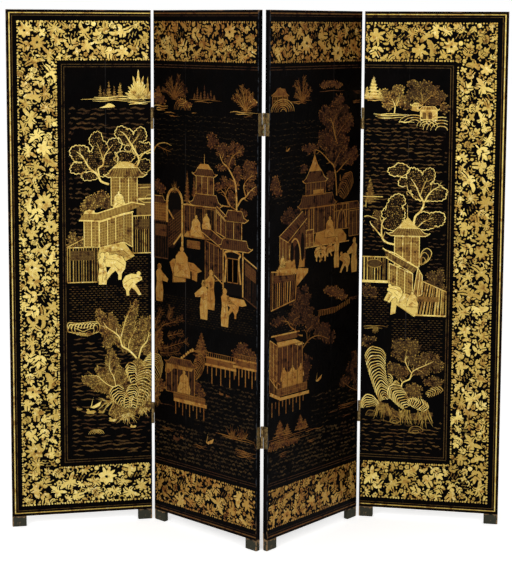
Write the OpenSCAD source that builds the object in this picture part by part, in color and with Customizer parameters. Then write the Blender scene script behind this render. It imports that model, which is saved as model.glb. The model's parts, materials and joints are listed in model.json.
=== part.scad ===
// Folding screen of four black-lacquered leaves, standing in a zigzag.
// Each leaf is a pine frame with two flush boards, faced on both sides with a
// hard lacquer ground. Two lift-off hinges join each leaf to the next one.
// x runs to the right, y away from the viewer and z up. The floor is z = 0,
// and the origin is the middle of the floor area that the screen stands in.
// A leaf is drawn with its left edge at x = 0 and its front face at y = 0.

/* [Leaf] */
// Width of one leaf
leaf_w = 500; // [420:5:600]
// Height of a leaf's panel, above its feet
panel_h = 1790; // [1500:10:2100]
// Height of the feet, from the floor to the panel
foot_h = 38; // [20:1:80]
// Thickness of the wooden core
core_t = 17; // [14:0.5:26]
// Thickness of the lacquer ground on each face
ground_t = 1.5; // [0.8:0.1:2.5]
// Bevel round the edge of each lacquered face
face_bevel = 0.6; // [0.2:0.1:0.7]

/* [Frame and boards] */
// Width of a stile, and so of a foot
stile_w = 50; // [40:1:70]
// Bevel round the foot where it meets the floor
foot_bevel = 2.5; // [1:0.5:5]
// Height of the top rail
top_rail_h = 70; // [50:5:110]
// Height of the bottom rail
bottom_rail_h = 90; // [60:5:140]
// Length of a rail's tenon
tenon_l = 26; // [15:1:28]
// Shoulder above and below a tenon
tenon_shoulder = 15; // [10:1:20]
// Thickness of the tenons and tongues
tongue_t = 6; // [4:0.5:8]
// Depth to which a board's tongue enters its groove
tongue_l = 7; // [4:0.5:10]
// Distance of the seam between the boards from the leaf's outer fold
seam_inset = 160; // [120:5:220]
// Clearance on each side of a tenon, a tongue and a let-in plate
joint_gap = 0.15; // [0.1:0.05:0.25]

/* [Hinges] */
// Height of a hinge
hinge_h = 76; // [60:2:100]
// Distance of the upper hinges' middle below the panel's top
hinge_from_top = 376; // [250:2:450]
// Distance of the lower hinges' middle above the panel's bottom
hinge_from_bottom = 356; // [250:2:450]
// Thickness of a hinge plate
plate_t = 1.8; // [1.4:0.1:2.4]
// Distance of the pin from the side edge of each leaf
pin_off = 3.2; // [2.8:0.1:4]
// Distance of the pin from the face that it lies in front of
pin_out = 3.8; // [3.6:0.1:5]
// Radius of the knuckles
knuckle_r = 4.4; // [3.8:0.1:4.4]
// Radius of the pin
pin_r = 2.1; // [1.5:0.1:2.4]
// Running clearance between the pin and the knuckles
pin_gap = 0.05; // [0.02:0.01:0.09]
// Gap between the upper and the lower knuckle
knuckle_gap = 0.4; // [0.3:0.1:1]
// Height by which the pin's domed ends stand out
pin_dome = 1.2; // [0.6:0.1:2]

/* [Screws] */
// Number of screws in each hinge plate
screws = 3; // [2:1:4]
// Length of a screw
screw_l = 19; // [12:1:24]
// Radius of a screw's shank
screw_r = 1.7; // [1.2:0.1:2.2]
// Radius of a screw's head
screw_head_r = 3.3; // [2.8:0.1:3.8]
// Sideways stagger of the screws from the plate's middle line
screw_stagger = 2.5; // [0:0.5:3]
// Width of the slot in a screw's head
slot_w = 0.8; // [0.5:0.1:1.2]
// Clearance round a screw
screw_gap = 0.05; // [0.02:0.01:0.1]

/* [Stance] */
// Angle of leaf 1 to the screen's length
angle_1 = 11.5; // [5:0.5:40]
// Angle of leaf 2 to the screen's length
angle_2 = -43; // [-60:0.5:-20]
// Angle of leaf 3 to the screen's length
angle_3 = 49; // [20:0.5:60]
// Angle of leaf 4 to the screen's length
angle_4 = -10.5; // [-40:0.5:-5]

/* [Hidden] */
$fn = 48;
// Reach of a cut past the face that it opens
over = 1;
LEAVES = [1, 2, 3, 4];
LEFT = -1;
RIGHT = 1;
LOWER = 0;
UPPER = 1;
LEVELS = [LOWER, UPPER];
LEVEL_NAMES = ["lower", "upper"];

leaf_t = core_t + 2 * ground_t;
top_z = foot_h + panel_h;
tongue_y = leaf_t / 2;
infill_bottom = foot_h + bottom_rail_h;
infill_top = top_z - top_rail_h;
plate_w = leaf_t - ground_t - joint_gap;
knuckle_h = (hinge_h - knuckle_gap) / 2;
hinge_z = [
    foot_h + hinge_from_bottom - hinge_h / 2,
    top_z - hinge_from_top - hinge_h / 2
];
angles = [angle_1, angle_2, angle_3, angle_4];

// Joint n lies between leaf n and leaf n + 1. The middle one folds the leaves
// back to back, so its pins lie behind them, and the others in front of them.
function pin_is_behind(joint) = joint == 2;
function joint_at(leaf, side) = side == RIGHT ? leaf : leaf - 1;
function is_joint(joint) = joint >= 1 && joint <= 3;
function pin_y(joint) = pin_is_behind(joint) ? leaf_t + pin_out : -pin_out;
function pin_at(leaf, side) = [
    side == RIGHT ? leaf_w + pin_off : -pin_off,
    pin_y(joint_at(leaf, side))
];
function turned(p, a) = [p.x * cos(a) - p.y * sin(a), p.x * sin(a) + p.y * cos(a)];

// Each leaf's corner is set so that the pins of neighbouring leaves meet
function leaf_corner(n) = n == 1 ? [0, 0] : leaf_corner(n - 1)
    + turned(pin_at(n - 1, RIGHT), angles[n - 2])
    - turned(pin_at(n, LEFT), angles[n - 1]);
function plan_corners(n) = [
    for (x = [0, leaf_w]) for (y = [0, leaf_t]) leaf_corner(n) + turned([x, y], angles[n - 1])
];
all_corners = [for (n = LEAVES) each plan_corners(n)];
all_x = [for (p = all_corners) p.x];
all_y = [for (p = all_corners) p.y];
middle = [min(all_x) + max(all_x), min(all_y) + max(all_y)] / 2;

// The seam lies near the fold to which the leaf's narrow board belongs
function seam_near(n) = n % 2 == 1 ? RIGHT : LEFT;
function seam_x(n) = seam_near(n) == RIGHT ? leaf_w - seam_inset : seam_inset;

LEAF_PARTS = [
    "left_stile", "right_stile", "top_rail", "bottom_rail", "wide_board",
    "narrow_board", "front_lacquer", "back_lacquer", "hinge_screws"
];
function leaf_node(n, part) = str("leaf_", n, "_", part);
function hinge_node(joint, level, part) =
    str("hinge_", joint, joint + 1, "_", LEVEL_NAMES[level], "_", part);

// Puts a leaf's piece at its place in the standing screen
module in_leaf(n) {
    corner = leaf_corner(n) - middle;
    translate([corner.x, corner.y, 0]) rotate([0, 0, angles[n - 1]]) children();
}

module mirrored(on, v) {
    if (on) {
        mirror(v) children();
    } else {
        children();
    }
}

// Puts a hinge's piece on its leaf. There the pin is drawn at x = 0 and y = 0,
// and the leaf's wood lies beyond x = -pin_off and y = pin_out.
module at_pin(leaf, side, level) {
    pin = pin_at(leaf, side);
    behind = pin_is_behind(joint_at(leaf, side));
    translate([pin.x, pin.y, hinge_z[level]])
        mirrored(side == LEFT, [1, 0, 0])
            mirrored(behind, [0, 1, 0])
                children();
}

// Places of the screws of one hinge plate, in the hinge's own frame
module at_screws() {
    for (i = [0 : screws - 1]) {
        stagger = screw_stagger * (i % 2 == 0 ? 1 : -1);
        z = hinge_h * (i + 0.5) / screws;
        translate([-pin_off, pin_out + plate_w / 2 + stagger, z]) rotate([0, -90, 0]) children();
    }
}

// The recess for a hinge plate. It reaches this far in from the pin's face.
module plate_recess(reach) {
    translate([-pin_off - plate_t - joint_gap, pin_out - over, -joint_gap])
        cube([plate_t + joint_gap + over, reach + over, hinge_h + 2 * joint_gap]);
}

module screw_holes() {
    at_screws() cylinder(r = screw_r + screw_gap, h = screw_l + joint_gap);
}

// A bar along z with its lower edges bevelled all round
module footed_bar(w, d, h, bevel) {
    side = [[0, h], [0, bevel], [bevel, 0], [w - bevel, 0], [w, bevel], [w, h]];
    front = [[0, h], [0, bevel], [bevel, 0], [d - bevel, 0], [d, bevel], [d, h]];
    intersection() {
        translate([0, d, 0]) rotate([90, 0, 0]) linear_extrude(d) polygon(side);
        rotate([90, 0, 90]) linear_extrude(w) polygon(front);
    }
}

// Mortises in a stile's inner edge, seen as cuts in a leaf
module tenon_shape(x0, length, rail_z, rail_h, gap) {
    translate([x0, tongue_y - tongue_t / 2 - gap, rail_z + tenon_shoulder - gap])
        cube([length, tongue_t + 2 * gap, rail_h - 2 * tenon_shoulder + 2 * gap]);
}

// A stile as it stands on the leaf's left, cut for the rails and the boards
module plain_stile() {
    groove = tongue_l + joint_gap;
    mortise = tenon_l + joint_gap;
    difference() {
        translate([0, ground_t, 0]) footed_bar(stile_w, core_t, top_z, foot_bevel);
        translate([stile_w - groove, tongue_y - tongue_t / 2 - joint_gap, infill_bottom])
            cube([groove + over, tongue_t + 2 * joint_gap, infill_top - infill_bottom]);
        tenon_shape(stile_w - mortise, mortise + over, foot_h, bottom_rail_h, joint_gap);
        tenon_shape(stile_w - mortise, mortise + over, infill_top, top_rail_h, joint_gap);
    }
}

module stile(leaf, side) {
    color("#1a1210") in_leaf(leaf) difference() {
        translate([side == RIGHT ? leaf_w : 0, 0, 0])
            mirrored(side == RIGHT, [1, 0, 0])
                plain_stile();
        if (is_joint(joint_at(leaf, side))) {
            for (level = LEVELS) at_pin(leaf, side, level) {
                plate_recess(leaf_t);
                screw_holes();
            }
        }
    }
}

// A rail between the stiles, with its tenons, and a groove on the boards' side
module rail(leaf, rail_z, rail_h, groove_z) {
    inner_w = leaf_w - 2 * stile_w;
    color("#8a6642") in_leaf(leaf) difference() {
        union() {
            translate([stile_w, ground_t, rail_z]) cube([inner_w, core_t, rail_h]);
            tenon_shape(stile_w - tenon_l, inner_w + 2 * tenon_l, rail_z, rail_h, 0);
        }
        translate([stile_w - over, tongue_y - tongue_t / 2 - joint_gap, groove_z])
            cube([inner_w + 2 * over, tongue_t + 2 * joint_gap, tongue_l + joint_gap + over]);
    }
}

module top_rail(leaf) {
    rail(leaf, infill_top, top_rail_h, infill_top - over);
}

module bottom_rail(leaf) {
    rail(leaf, foot_h, bottom_rail_h, infill_bottom - tongue_l - joint_gap);
}

// A board from x0 to x1 that fills the frame's height, with tongues into the
// rails and one tongue on each long edge that is asked for
module board(x0, x1, left_tongue, right_tongue) {
    z0 = infill_bottom + joint_gap;
    z1 = infill_top - joint_gap;
    tongue = tongue_l - joint_gap;
    tongue_x0 = x0 - (left_tongue ? tongue : 0);
    tongue_x1 = x1 + (right_tongue ? tongue : 0);
    translate([x0, ground_t, z0]) cube([x1 - x0, core_t, z1 - z0]);
    translate([tongue_x0, tongue_y - tongue_t / 2, z0])
        cube([tongue_x1 - tongue_x0, tongue_t, z1 - z0]);
    translate([x0, tongue_y - tongue_t / 2, z0 - tongue])
        cube([x1 - x0, tongue_t, z1 - z0 + 2 * tongue]);
}

// The board at one side of the seam. The wide board's tongue crosses the seam.
module infill_board(leaf, wide) {
    on_right = (seam_near(leaf) == RIGHT) != wide;
    x0 = on_right ? seam_x(leaf) + joint_gap : stile_w + joint_gap;
    x1 = on_right ? leaf_w - stile_w - joint_gap : seam_x(leaf) - joint_gap;
    groove_x = on_right ? x0 - over : x1 - tongue_l - joint_gap;
    color("#a07a50") in_leaf(leaf) difference() {
        board(x0, x1, wide || !on_right, wide || on_right);
        if (!wide) {
            translate([groove_x, tongue_y - tongue_t / 2 - joint_gap, infill_bottom - tongue_l])
                cube([
                    tongue_l + joint_gap + over,
                    tongue_t + 2 * joint_gap,
                    infill_top - infill_bottom + 2 * tongue_l
                ]);
        }
    }
}

// A lacquer ground with its outer edges bevelled, as it lies on the front face
module ground_sheet() {
    b = face_bevel;
    across = [[0, ground_t], [0, b], [b, 0], [leaf_w - b, 0], [leaf_w, b], [leaf_w, ground_t]];
    upright = [
        [ground_t, 0], [b, 0], [0, b], [0, panel_h - b], [b, panel_h], [ground_t, panel_h]
    ];
    translate([0, 0, foot_h]) intersection() {
        linear_extrude(panel_h) polygon(across);
        rotate([90, 0, 90]) linear_extrude(leaf_w) polygon(upright);
    }
}

// The ground on one face, notched where a hinge plate comes out to its pin
module lacquer(leaf, behind) {
    color("#0a0709") in_leaf(leaf) difference() {
        translate([0, behind ? leaf_t : 0, 0]) mirrored(behind, [0, 1, 0]) ground_sheet();
        for (side = [LEFT, RIGHT]) {
            joint = joint_at(leaf, side);
            if (is_joint(joint) && pin_is_behind(joint) == behind) {
                for (level = LEVELS) at_pin(leaf, side, level) plate_recess(ground_t + over);
            }
        }
    }
}

// One half of a hinge. The left half carries the lower knuckle.
module hinge_plate(joint, side, level) {
    leaf = side == LEFT ? joint : joint + 1;
    own_z = side == LEFT ? 0 : hinge_h - knuckle_h;
    color("#6b5530") in_leaf(leaf) at_pin(leaf, -side, level) difference() {
        union() {
            translate([-pin_off - plate_t, pin_out, 0]) cube([plate_t, plate_w, hinge_h]);
            translate([-pin_off - plate_t, 0, own_z]) cube([plate_t, pin_out + over, knuckle_h]);
            translate([0, 0, own_z]) cylinder(r = knuckle_r, h = knuckle_h);
        }
        translate([0, 0, own_z - over]) cylinder(r = pin_r + pin_gap, h = knuckle_h + 2 * over);
        at_screws() translate([0, 0, -screw_gap]) screw_cone(screw_gap);
    }
}

// The pin, fixed in the lower knuckle, with a low dome on each end
module hinge_pin(joint, level) {
    tip_r = pin_r / 2;
    color("#7d6638") in_leaf(joint) at_pin(joint, RIGHT, level) {
        cylinder(r = pin_r, h = hinge_h);
        translate([0, 0, hinge_h]) cylinder(r1 = pin_r, r2 = tip_r, h = pin_dome);
        translate([0, 0, -pin_dome]) cylinder(r1 = tip_r, r2 = pin_r, h = pin_dome);
    }
}

// The countersunk part of a screw, as deep as the plate is thick
module screw_cone(gap) {
    cylinder(r1 = screw_head_r + gap, r2 = screw_r + gap, h = plate_t + 2 * gap);
}

module screw() {
    difference() {
        union() {
            screw_cone(0);
            cylinder(r = screw_r, h = screw_l);
        }
        translate([-slot_w / 2, -screw_head_r, -over])
            cube([slot_w, 2 * screw_head_r, over + plate_t / 3]);
    }
}

// All the screws in one leaf's edges
module hinge_screws(leaf) {
    color("#8a7340") in_leaf(leaf) for (side = [LEFT, RIGHT]) {
        if (is_joint(joint_at(leaf, side))) {
            for (level = LEVELS) at_pin(leaf, side, level) at_screws() screw();
        }
    }
}

for (n = LEAVES) {
    stile(n, LEFT);
    stile(n, RIGHT);
    top_rail(n);
    bottom_rail(n);
    infill_board(n, true);
    infill_board(n, false);
    lacquer(n, false);
    lacquer(n, true);
    hinge_screws(n);
}
for (joint = [1:3]) for (level = LEVELS) {
    hinge_plate(joint, LEFT, level);
    hinge_plate(joint, RIGHT, level);
    hinge_pin(joint, level);
}
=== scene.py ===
"""Looks of a four-leaf folding screen: black lacquer with a raised gilt border and landscape.

Drawing is done on the unfolded screen, in millimetres: across is 0 to 2000 over the four leaves from
the viewer's left, up is 0 to 1790 from the lower edge of the panels.
"""

import json
import math
import random

import bpy
import numpy as np
from mathutils import Matrix, Vector


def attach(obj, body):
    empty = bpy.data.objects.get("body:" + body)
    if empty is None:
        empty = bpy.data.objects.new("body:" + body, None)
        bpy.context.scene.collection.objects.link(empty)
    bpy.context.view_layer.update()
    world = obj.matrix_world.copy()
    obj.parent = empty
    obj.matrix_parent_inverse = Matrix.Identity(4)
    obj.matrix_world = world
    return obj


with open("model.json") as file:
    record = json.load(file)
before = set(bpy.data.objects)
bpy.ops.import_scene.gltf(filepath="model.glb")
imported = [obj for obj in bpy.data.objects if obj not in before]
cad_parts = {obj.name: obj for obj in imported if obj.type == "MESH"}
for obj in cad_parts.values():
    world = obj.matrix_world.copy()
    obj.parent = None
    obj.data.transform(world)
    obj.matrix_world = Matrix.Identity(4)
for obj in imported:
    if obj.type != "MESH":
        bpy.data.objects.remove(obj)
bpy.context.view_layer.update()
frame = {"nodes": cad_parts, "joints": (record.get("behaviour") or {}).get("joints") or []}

# ---------------------------------------------------------------- sizes, as in the part's source

MM = 0.001
LEAVES = (1, 2, 3, 4)
OUTER_LEAVES = (1, 4)
LEAF_TURNS = (11.5, -43.0, 49.0, -10.5)
LEAF_W = 500.0
LEAF_T = 20.0
PANEL_H = 1790.0
FOOT_H = 38.0
PIN_BESIDE = 3.2
PIN_PROUD = 3.8
SEAM_INSET = 160.0
FULL_W = LEAF_W * len(LEAVES)

# Decoration, from the outer edge of the screen inwards.
GOLD_LINE_AT = 11.0
THIN_LINE_AT = 20.0
THIN_LINE_W = 1.4
BAND_FROM = 36.0
BAND_TO = 175.0
FILLETS_AT = (188.0, 196.5)
FILLET_W = 2.2
EDGE_CLEAR = 1.2

# The gilding rises from the lacquer in layers; within a layer, what lies over is a little higher.
SUNK = 0.03
LOWEST = 0.05
LAYER_STEP = 0.02
OVER_STEP = 0.006
BORDER_RISE = 0.15
WATER_RISE = 0.06


def leaf_matrix(leaf, back=False):
    """Carries leaf millimetres to the shared frame: across, depth from the face, height over the floor."""
    pin = ("fold_12", "fold_12", "fold_23", "fold_34")[leaf - 1]
    joint = next(j["pos_m"] for j in frame["joints"] if j["name"] == pin)
    across = LEAF_W + PIN_BESIDE if leaf == 1 else -PIN_BESIDE
    depth = LEAF_T + PIN_PROUD if pin == "fold_23" else -PIN_PROUD
    turn = Matrix.Rotation(math.radians(LEAF_TURNS[leaf - 1]), 4, "Z")
    at = Vector((joint[0], joint[1], 0)) - turn @ (Vector((across, depth, 0)) * MM)
    placed = Matrix.Translation(at) @ turn @ Matrix.Scale(MM, 4)
    if back:
        placed = placed @ Matrix.Translation((LEAF_W, LEAF_T, 0)) @ Matrix.Rotation(math.pi, 4, "Z")
    return placed


def new_object(name, data):
    made = bpy.data.objects.new(name, data)
    bpy.context.scene.collection.objects.link(made)
    return made


# ---------------------------------------------------------------- nodes


def feed(value, socket):
    """Joins a socket to a socket, or sets a plain value."""
    if isinstance(value, bpy.types.NodeSocket):
        socket.id_data.links.new(value, socket)
    elif value is not None:
        socket.default_value = value


def add_node(tree, kind, given=None, **settings):
    """The outputs of a new node; given holds values or sockets for its inputs, by name or by number."""
    node = tree.nodes.new(kind)
    for label, value in settings.items():
        setattr(node, label, value)
    for place, value in (given or {}).items():
        feed(value, node.inputs[place])
    return node.outputs


def new_group(name, inputs, kind="ShaderNodeTree"):
    """A node group and what it is given; inputs are (name, kind) or (name, kind, default)."""
    group = bpy.data.node_groups.new(name, kind)
    for label, sort, *default in inputs:
        socket = group.interface.new_socket(label, in_out="INPUT", socket_type="NodeSocket" + sort)
        if default:
            socket.default_value = default[0]
    return group, add_node(group, "NodeGroupInput")


def end_group(group, **outputs):
    """Names a group's outputs; all but a colour and a geometry are plain numbers."""
    for label in outputs:
        sort = label if label in ("Color", "Geometry") else "Float"
        group.interface.new_socket(label, in_out="OUTPUT", socket_type="NodeSocket" + sort)
    add_node(group, "NodeGroupOutput", outputs)
    return group


# The nodes below go into the tree of the socket that they are given.


def math_node(operation, first, second=None, clamp=False):
    tree = next(v for v in (first, second) if isinstance(v, bpy.types.NodeSocket)).id_data
    return add_node(tree, "ShaderNodeMath", {0: first, 1: second}, operation=operation, use_clamp=clamp)[0]


def times(first, second, clamp=False):
    return math_node("MULTIPLY", first, second, clamp)


def plus(first, second, clamp=False):
    return math_node("ADD", first, second, clamp)


def less(first, second):
    return math_node("SUBTRACT", first, second)


def ranged(value, low, high, to_low=0.0, to_high=1.0):
    given = dict(enumerate((value, low, high, to_low, to_high)))
    return add_node(value.id_data, "ShaderNodeMapRange", given, interpolation_type="SMOOTHSTEP")[0]


def noise(vector, scale, detail=3.0, rough=0.55, bend=0.0):
    given = {"Vector": vector, "Scale": scale, "Detail": detail, "Roughness": rough, "Distortion": bend}
    return add_node(vector.id_data, "ShaderNodeTexNoise", given)["Fac"]


def mixed(mask, first, second):
    given = {"Factor": mask, 6: first, 7: second}
    return add_node(mask.id_data, "ShaderNodeMix", given, data_type="RGBA")[2]


def stretched(vector, scale):
    return add_node(vector.id_data, "ShaderNodeMapping", {"Vector": vector, "Scale": scale})[0]


def parted(vector):
    return add_node(vector.id_data, "ShaderNodeSeparateXYZ", {0: vector})


def ramp(value, stops):
    node = value.id_data.nodes.new("ShaderNodeValToRGB")
    feed(value, node.inputs[0])
    marks = node.color_ramp.elements
    while len(marks) < len(stops):
        marks.new(0.5)
    for mark, (at, color) in zip(marks, stops):
        mark.position = at
        mark.color = (*color, 1)
    return node.outputs[0]


# ---------------------------------------------------------------- camera, light, floor

SENSOR_W = 36.0
VIEW_REACH = 100.0
FOCAL_PX = 1510.0
IMAGE_H_PX = 562
HORIZON_RISE_PX = 85.0
CAMERA_AT = (-0.0177, -5.1602, 1.7786)
CAMERA_DOWN = 0.11285
CAMERA_ROLL = 0.0048
CAMERA_YAW = -0.00225
WORLD_COLOR = (1, 0.985, 0.96, 1)
WORLD_LIGHT = 0.62
LAMPS = (("front_left", (-2.2, -4.6, 3.2), 108.0), ("front_right", (2.2, -4.6, 3.2), 70.0))
LAMP_AIM = (0, 0, 0.9)
LAMP_SIZE = 2.4
FLOOR_REACH = 40.0
FLOOR_PAINT = (0.86, 0.86, 0.86, 1)
FLOOR_LIFT = 0.5


def make_camera():
    data = bpy.data.cameras.new("camera")
    data.sensor_width = SENSOR_W
    data.lens = FOCAL_PX / IMAGE_H_PX * data.sensor_width
    data.shift_y = -HORIZON_RISE_PX / IMAGE_H_PX
    data.clip_end = VIEW_REACH
    camera = new_object("camera", data)
    lean = Matrix.Rotation(math.pi / 2 - CAMERA_DOWN, 4, "X") @ Matrix.Rotation(CAMERA_ROLL, 4, "Z")
    camera.matrix_world = Matrix.Translation(CAMERA_AT) @ Matrix.Rotation(CAMERA_YAW, 4, "Z") @ lean
    bpy.context.scene.camera = camera


def seen_rays(tree):
    """A mask that is 1 for camera, mirror and glass rays."""
    path = add_node(tree, "ShaderNodeLightPath")
    first = math_node("MAXIMUM", path["Is Camera Ray"], path["Is Glossy Ray"])
    return math_node("MAXIMUM", first, path["Is Transmission Ray"])


def make_world():
    world = bpy.data.worlds.new("studio")
    world.use_nodes = True
    tree = world.node_tree
    tree.nodes.clear()
    lit = add_node(tree, "ShaderNodeBackground", {"Color": WORLD_COLOR, "Strength": WORLD_LIGHT})[0]
    shown = add_node(tree, "ShaderNodeBackground", {"Color": (1, 1, 1, 1)})[0]
    both = add_node(tree, "ShaderNodeMixShader", {0: seen_rays(tree), 1: lit, 2: shown})[0]
    add_node(tree, "ShaderNodeOutputWorld", {0: both})
    bpy.context.scene.world = world


def make_lamp(name, at, power):
    data = bpy.data.lights.new(name, "AREA")
    data.shape = "DISK"
    data.energy = power
    data.size = LAMP_SIZE
    lamp = new_object(name, data)
    lamp.location = at
    lamp.rotation_mode = "QUATERNION"
    lamp.rotation_quaternion = (Vector(LAMP_AIM) - Vector(at)).to_track_quat("-Z", "Y")


def make_floor():
    mesh = bpy.data.meshes.new("floor")
    corners = [(x * FLOOR_REACH, y * FLOOR_REACH, 0) for x, y in ((-1, -1), (1, -1), (1, 1), (-1, 1))]
    mesh.from_pydata(corners, [], [(0, 1, 2, 3)])
    material = bpy.data.materials.new("pale_floor")
    material.use_nodes = True
    tree = material.node_tree
    tree.nodes.clear()
    paint = add_node(tree, "ShaderNodeBsdfDiffuse", {"Color": FLOOR_PAINT})[0]
    glow = add_node(tree, "ShaderNodeEmission", {"Strength": times(seen_rays(tree), FLOOR_LIFT)})[0]
    both = add_node(tree, "ShaderNodeAddShader", {0: paint, 1: glow})[0]
    add_node(tree, "ShaderNodeOutputMaterial", {0: both})
    mesh.materials.append(material)
    new_object("floor", mesh)


# ---------------------------------------------------------------- shared effects, as node groups


def arris_wear_group():
    """How far a leaf's edge is rubbed, from the distance to its nearest arris and a broken noise."""
    halves = (("Half Width", LEAF_W), ("Half Depth", LEAF_T), ("Half Height", PANEL_H))
    inputs = [("Place", "Vector"), *((label, "Float", size / 2 * MM) for label, size in halves)]
    group, given = new_group("arris wear", inputs + [("Reach", "Float", 0.003), ("Breaks", "Float", 30.0)])
    gaps = []
    for axis, (half, _) in zip(parted(given["Place"]), halves):
        size = math_node("ABSOLUTE", axis)
        gaps.append(math_node("ABSOLUTE", less(given[half], size)))
    low = math_node("MINIMUM", gaps[0], gaps[1])
    high = math_node("MAXIMUM", gaps[0], gaps[1])
    distance = math_node("MAXIMUM", low, math_node("MINIMUM", high, gaps[2]))
    broken = noise(given["Place"], given["Breaks"], 6.0, 0.7)
    reach = times(given["Reach"], ranged(broken, 0.42, 0.72))
    wear = ranged(less(reach, distance), -0.0004, 0.0006)
    return end_group(group, Wear=wear, Distance=distance)


def crackle_group():
    """Fine age cracks and hair scratches in lacquer: a height and a mask of the scratches."""
    group, given = new_group("crackle", [("Place", "Vector"), ("Scale", "Float", 160.0)])
    place = given["Place"]
    cells = {"Vector": place, "Scale": given["Scale"]}
    edges = add_node(group, "ShaderNodeTexVoronoi", cells, feature="DISTANCE_TO_EDGE")[0]
    patches = ranged(noise(place, 9.0), 0.48, 0.62)
    cracks = times(ranged(edges, 0.0, 0.035, 1.0, 0.0), patches)
    fine = noise(stretched(place, (900.0, 900.0, 14.0)), 1.0, 2.0)
    height = less(noise(place, 55.0, 4.0), times(cracks, 0.6))
    return end_group(group, Height=height, Scratches=ranged(fine, 0.66, 0.72))


def grain_group():
    """Wood grain running along Z: a colour mask and a height."""
    group, given = new_group("grain", [("Place", "Vector"), ("Fineness", "Float", 1.0)])
    sized = {0: given["Place"], "Scale": given["Fineness"]}
    place = add_node(group, "ShaderNodeVectorMath", sized, operation="SCALE")[0]
    rings = noise(stretched(place, (90.0, 90.0, 3.0)), 1.0, 5.0, 0.6, 0.6)
    pores = noise(stretched(place, (900.0, 900.0, 25.0)), 1.0, 2.0)
    both = plus(times(rings, 0.75), times(pores, 0.25))
    return end_group(group, Grain=both, Height=less(both, ranged(pores, 0.6, 0.75)))


# Gilt from its barest to its fullest, as (tone, colour): bright leaf, and powder over a red ground. The
# warm ramp also carries the painted shade and reflection given to the inner leaves' gilt.
GILT_BRIGHT = (
    (0.0, (0.0014, 0.0007, 0.0004)),
    (0.18, (0.042, 0.024, 0.009)),
    (0.45, (0.180, 0.108, 0.024)),
    (0.72, (0.425, 0.295, 0.062)),
    (1.0, (0.760, 0.605, 0.180)),
)
GILT_WARM = (
    (0.0, (0.0014, 0.0006, 0.0003)),
    (0.18, (0.037, 0.0125, 0.006)),
    (0.45, (0.138, 0.049, 0.011)),
    (0.72, (0.302, 0.130, 0.024)),
    (1.0, (0.500, 0.310, 0.075)),
)
GILT_PALE = (0.86, 0.77, 0.42, 1)


def gilt_group():
    """Gold powder and leaf laid over lacquer: tone 0 is bare dark lacquer, 1 the fullest gilt."""
    inputs = [("Place", "Vector"), ("Tone", "Float", 1.0), ("Warmth", "Float", 0.0), ("Rub", "Float", 0.3)]
    group, given = new_group("gilt", inputs)
    place = given["Place"]
    broad = noise(place, 11.0, 2.0)
    close = noise(place, 44.0, 3.0)
    dusty = noise(place, 420.0, 2.0, 0.7)
    rubbed = times(ranged(close, 0.52, 0.75), given["Rub"])
    shift = times(less(dusty, 0.5), 0.55)
    tone = plus(less(given["Tone"], rubbed), shift, True)
    tone = times(tone, ranged(given["Tone"], 0.0, 0.08), True)
    patchy = math_node("MAXIMUM", ranged(broad, 0.5, 0.7), ranged(close, 0.5, 0.66))
    warmth = plus(given["Warmth"], times(patchy, 0.42), True)
    color = mixed(warmth, ramp(tone, GILT_BRIGHT), ramp(tone, GILT_WARM))
    worn_pale = times(ranged(noise(place, 95.0, 3.0, 0.65), 0.54, 0.72), 0.75)
    worn_pale = times(worn_pale, ranged(tone, 0.55, 0.95))
    less_warm = less(1.0, times(given["Warmth"], 0.7))
    return end_group(
        group,
        Color=mixed(times(worn_pale, less_warm), color, GILT_PALE),
        Roughness=ranged(dusty, 0.3, 0.7, 0.34, 0.56),
        Metallic=ranged(tone, 0.05, 0.6, 0.0, 0.62),
        Height=plus(dusty, close),
    )


GROUPS = {
    "arris": arris_wear_group(),
    "crackle": crackle_group(),
    "grain": grain_group(),
    "gilt": gilt_group(),
}


def effect(name, **values):
    return add_node(values["Place"].id_data, "ShaderNodeGroup", values, node_tree=GROUPS[name])


# ---------------------------------------------------------------- materials

LACQUER = (0.0007, 0.0005, 0.0005, 1)
LACQUER_BROWN = (0.0014, 0.0008, 0.0006, 1)
LACQUER_STREAK = (0.006, 0.004, 0.004, 1)
RUBBED_BROWN = (0.120, 0.066, 0.030, 1)
BARE_WOOD = (0.330, 0.215, 0.110, 1)
FOOT_PAINT = (0.034, 0.034, 0.024, 1)
SEAM_GREY = (0.030, 0.026, 0.024, 1)
# Painted highlight: the grey sheen of light caught on the rounded arrises at the joints.
PAINTED_SHEEN_GREY = (0.026, 0.028, 0.032, 1)
BOARD_DARK = (0.10, 0.055, 0.025, 1)
BOARD_PALE = (0.32, 0.20, 0.095, 1)
BRASS = (0.25, 0.165, 0.060, 1)
BRASS_BROWN = (0.060, 0.038, 0.016, 1)
BRASS_GREEN = (0.10, 0.11, 0.060, 1)
PANEL_FOOT = -PANEL_H / 2 * MM


def new_material(name, **constants):
    """A material, its shader and its object coordinates; constants sit on the shader's own sockets."""
    material = bpy.data.materials.new(name)
    material.use_nodes = True
    shader = material.node_tree.nodes["Principled BSDF"]
    for label, value in constants.items():
        shader.inputs[label.replace("_", " ")].default_value = value
    return material, shader, add_node(material.node_tree, "ShaderNodeTexCoord")["Object"]


def leaf_place(place, leaf):
    """Object coordinates turned and centred on one leaf's panel, in metres."""
    middle = leaf_matrix(leaf) @ Vector((LEAF_W / 2, LEAF_T / 2, FOOT_H + PANEL_H / 2))
    turn = (0, 0, math.radians(LEAF_TURNS[leaf - 1]))
    given = {"Vector": place, "Location": middle, "Rotation": turn}
    return add_node(place.id_data, "ShaderNodeMapping", given, vector_type="TEXTURE")[0]


def surface(shader, color, dull, height, strength, distance):
    """Joins a colour, a roughness and a bump to the shader."""
    feed(color, shader.inputs["Base Color"])
    feed(dull, shader.inputs["Roughness"])
    bump = {"Strength": strength, "Distance": distance, "Height": height}
    feed(add_node(shader.id_data, "ShaderNodeBump", bump)[0], shader.inputs["Normal"])


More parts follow.
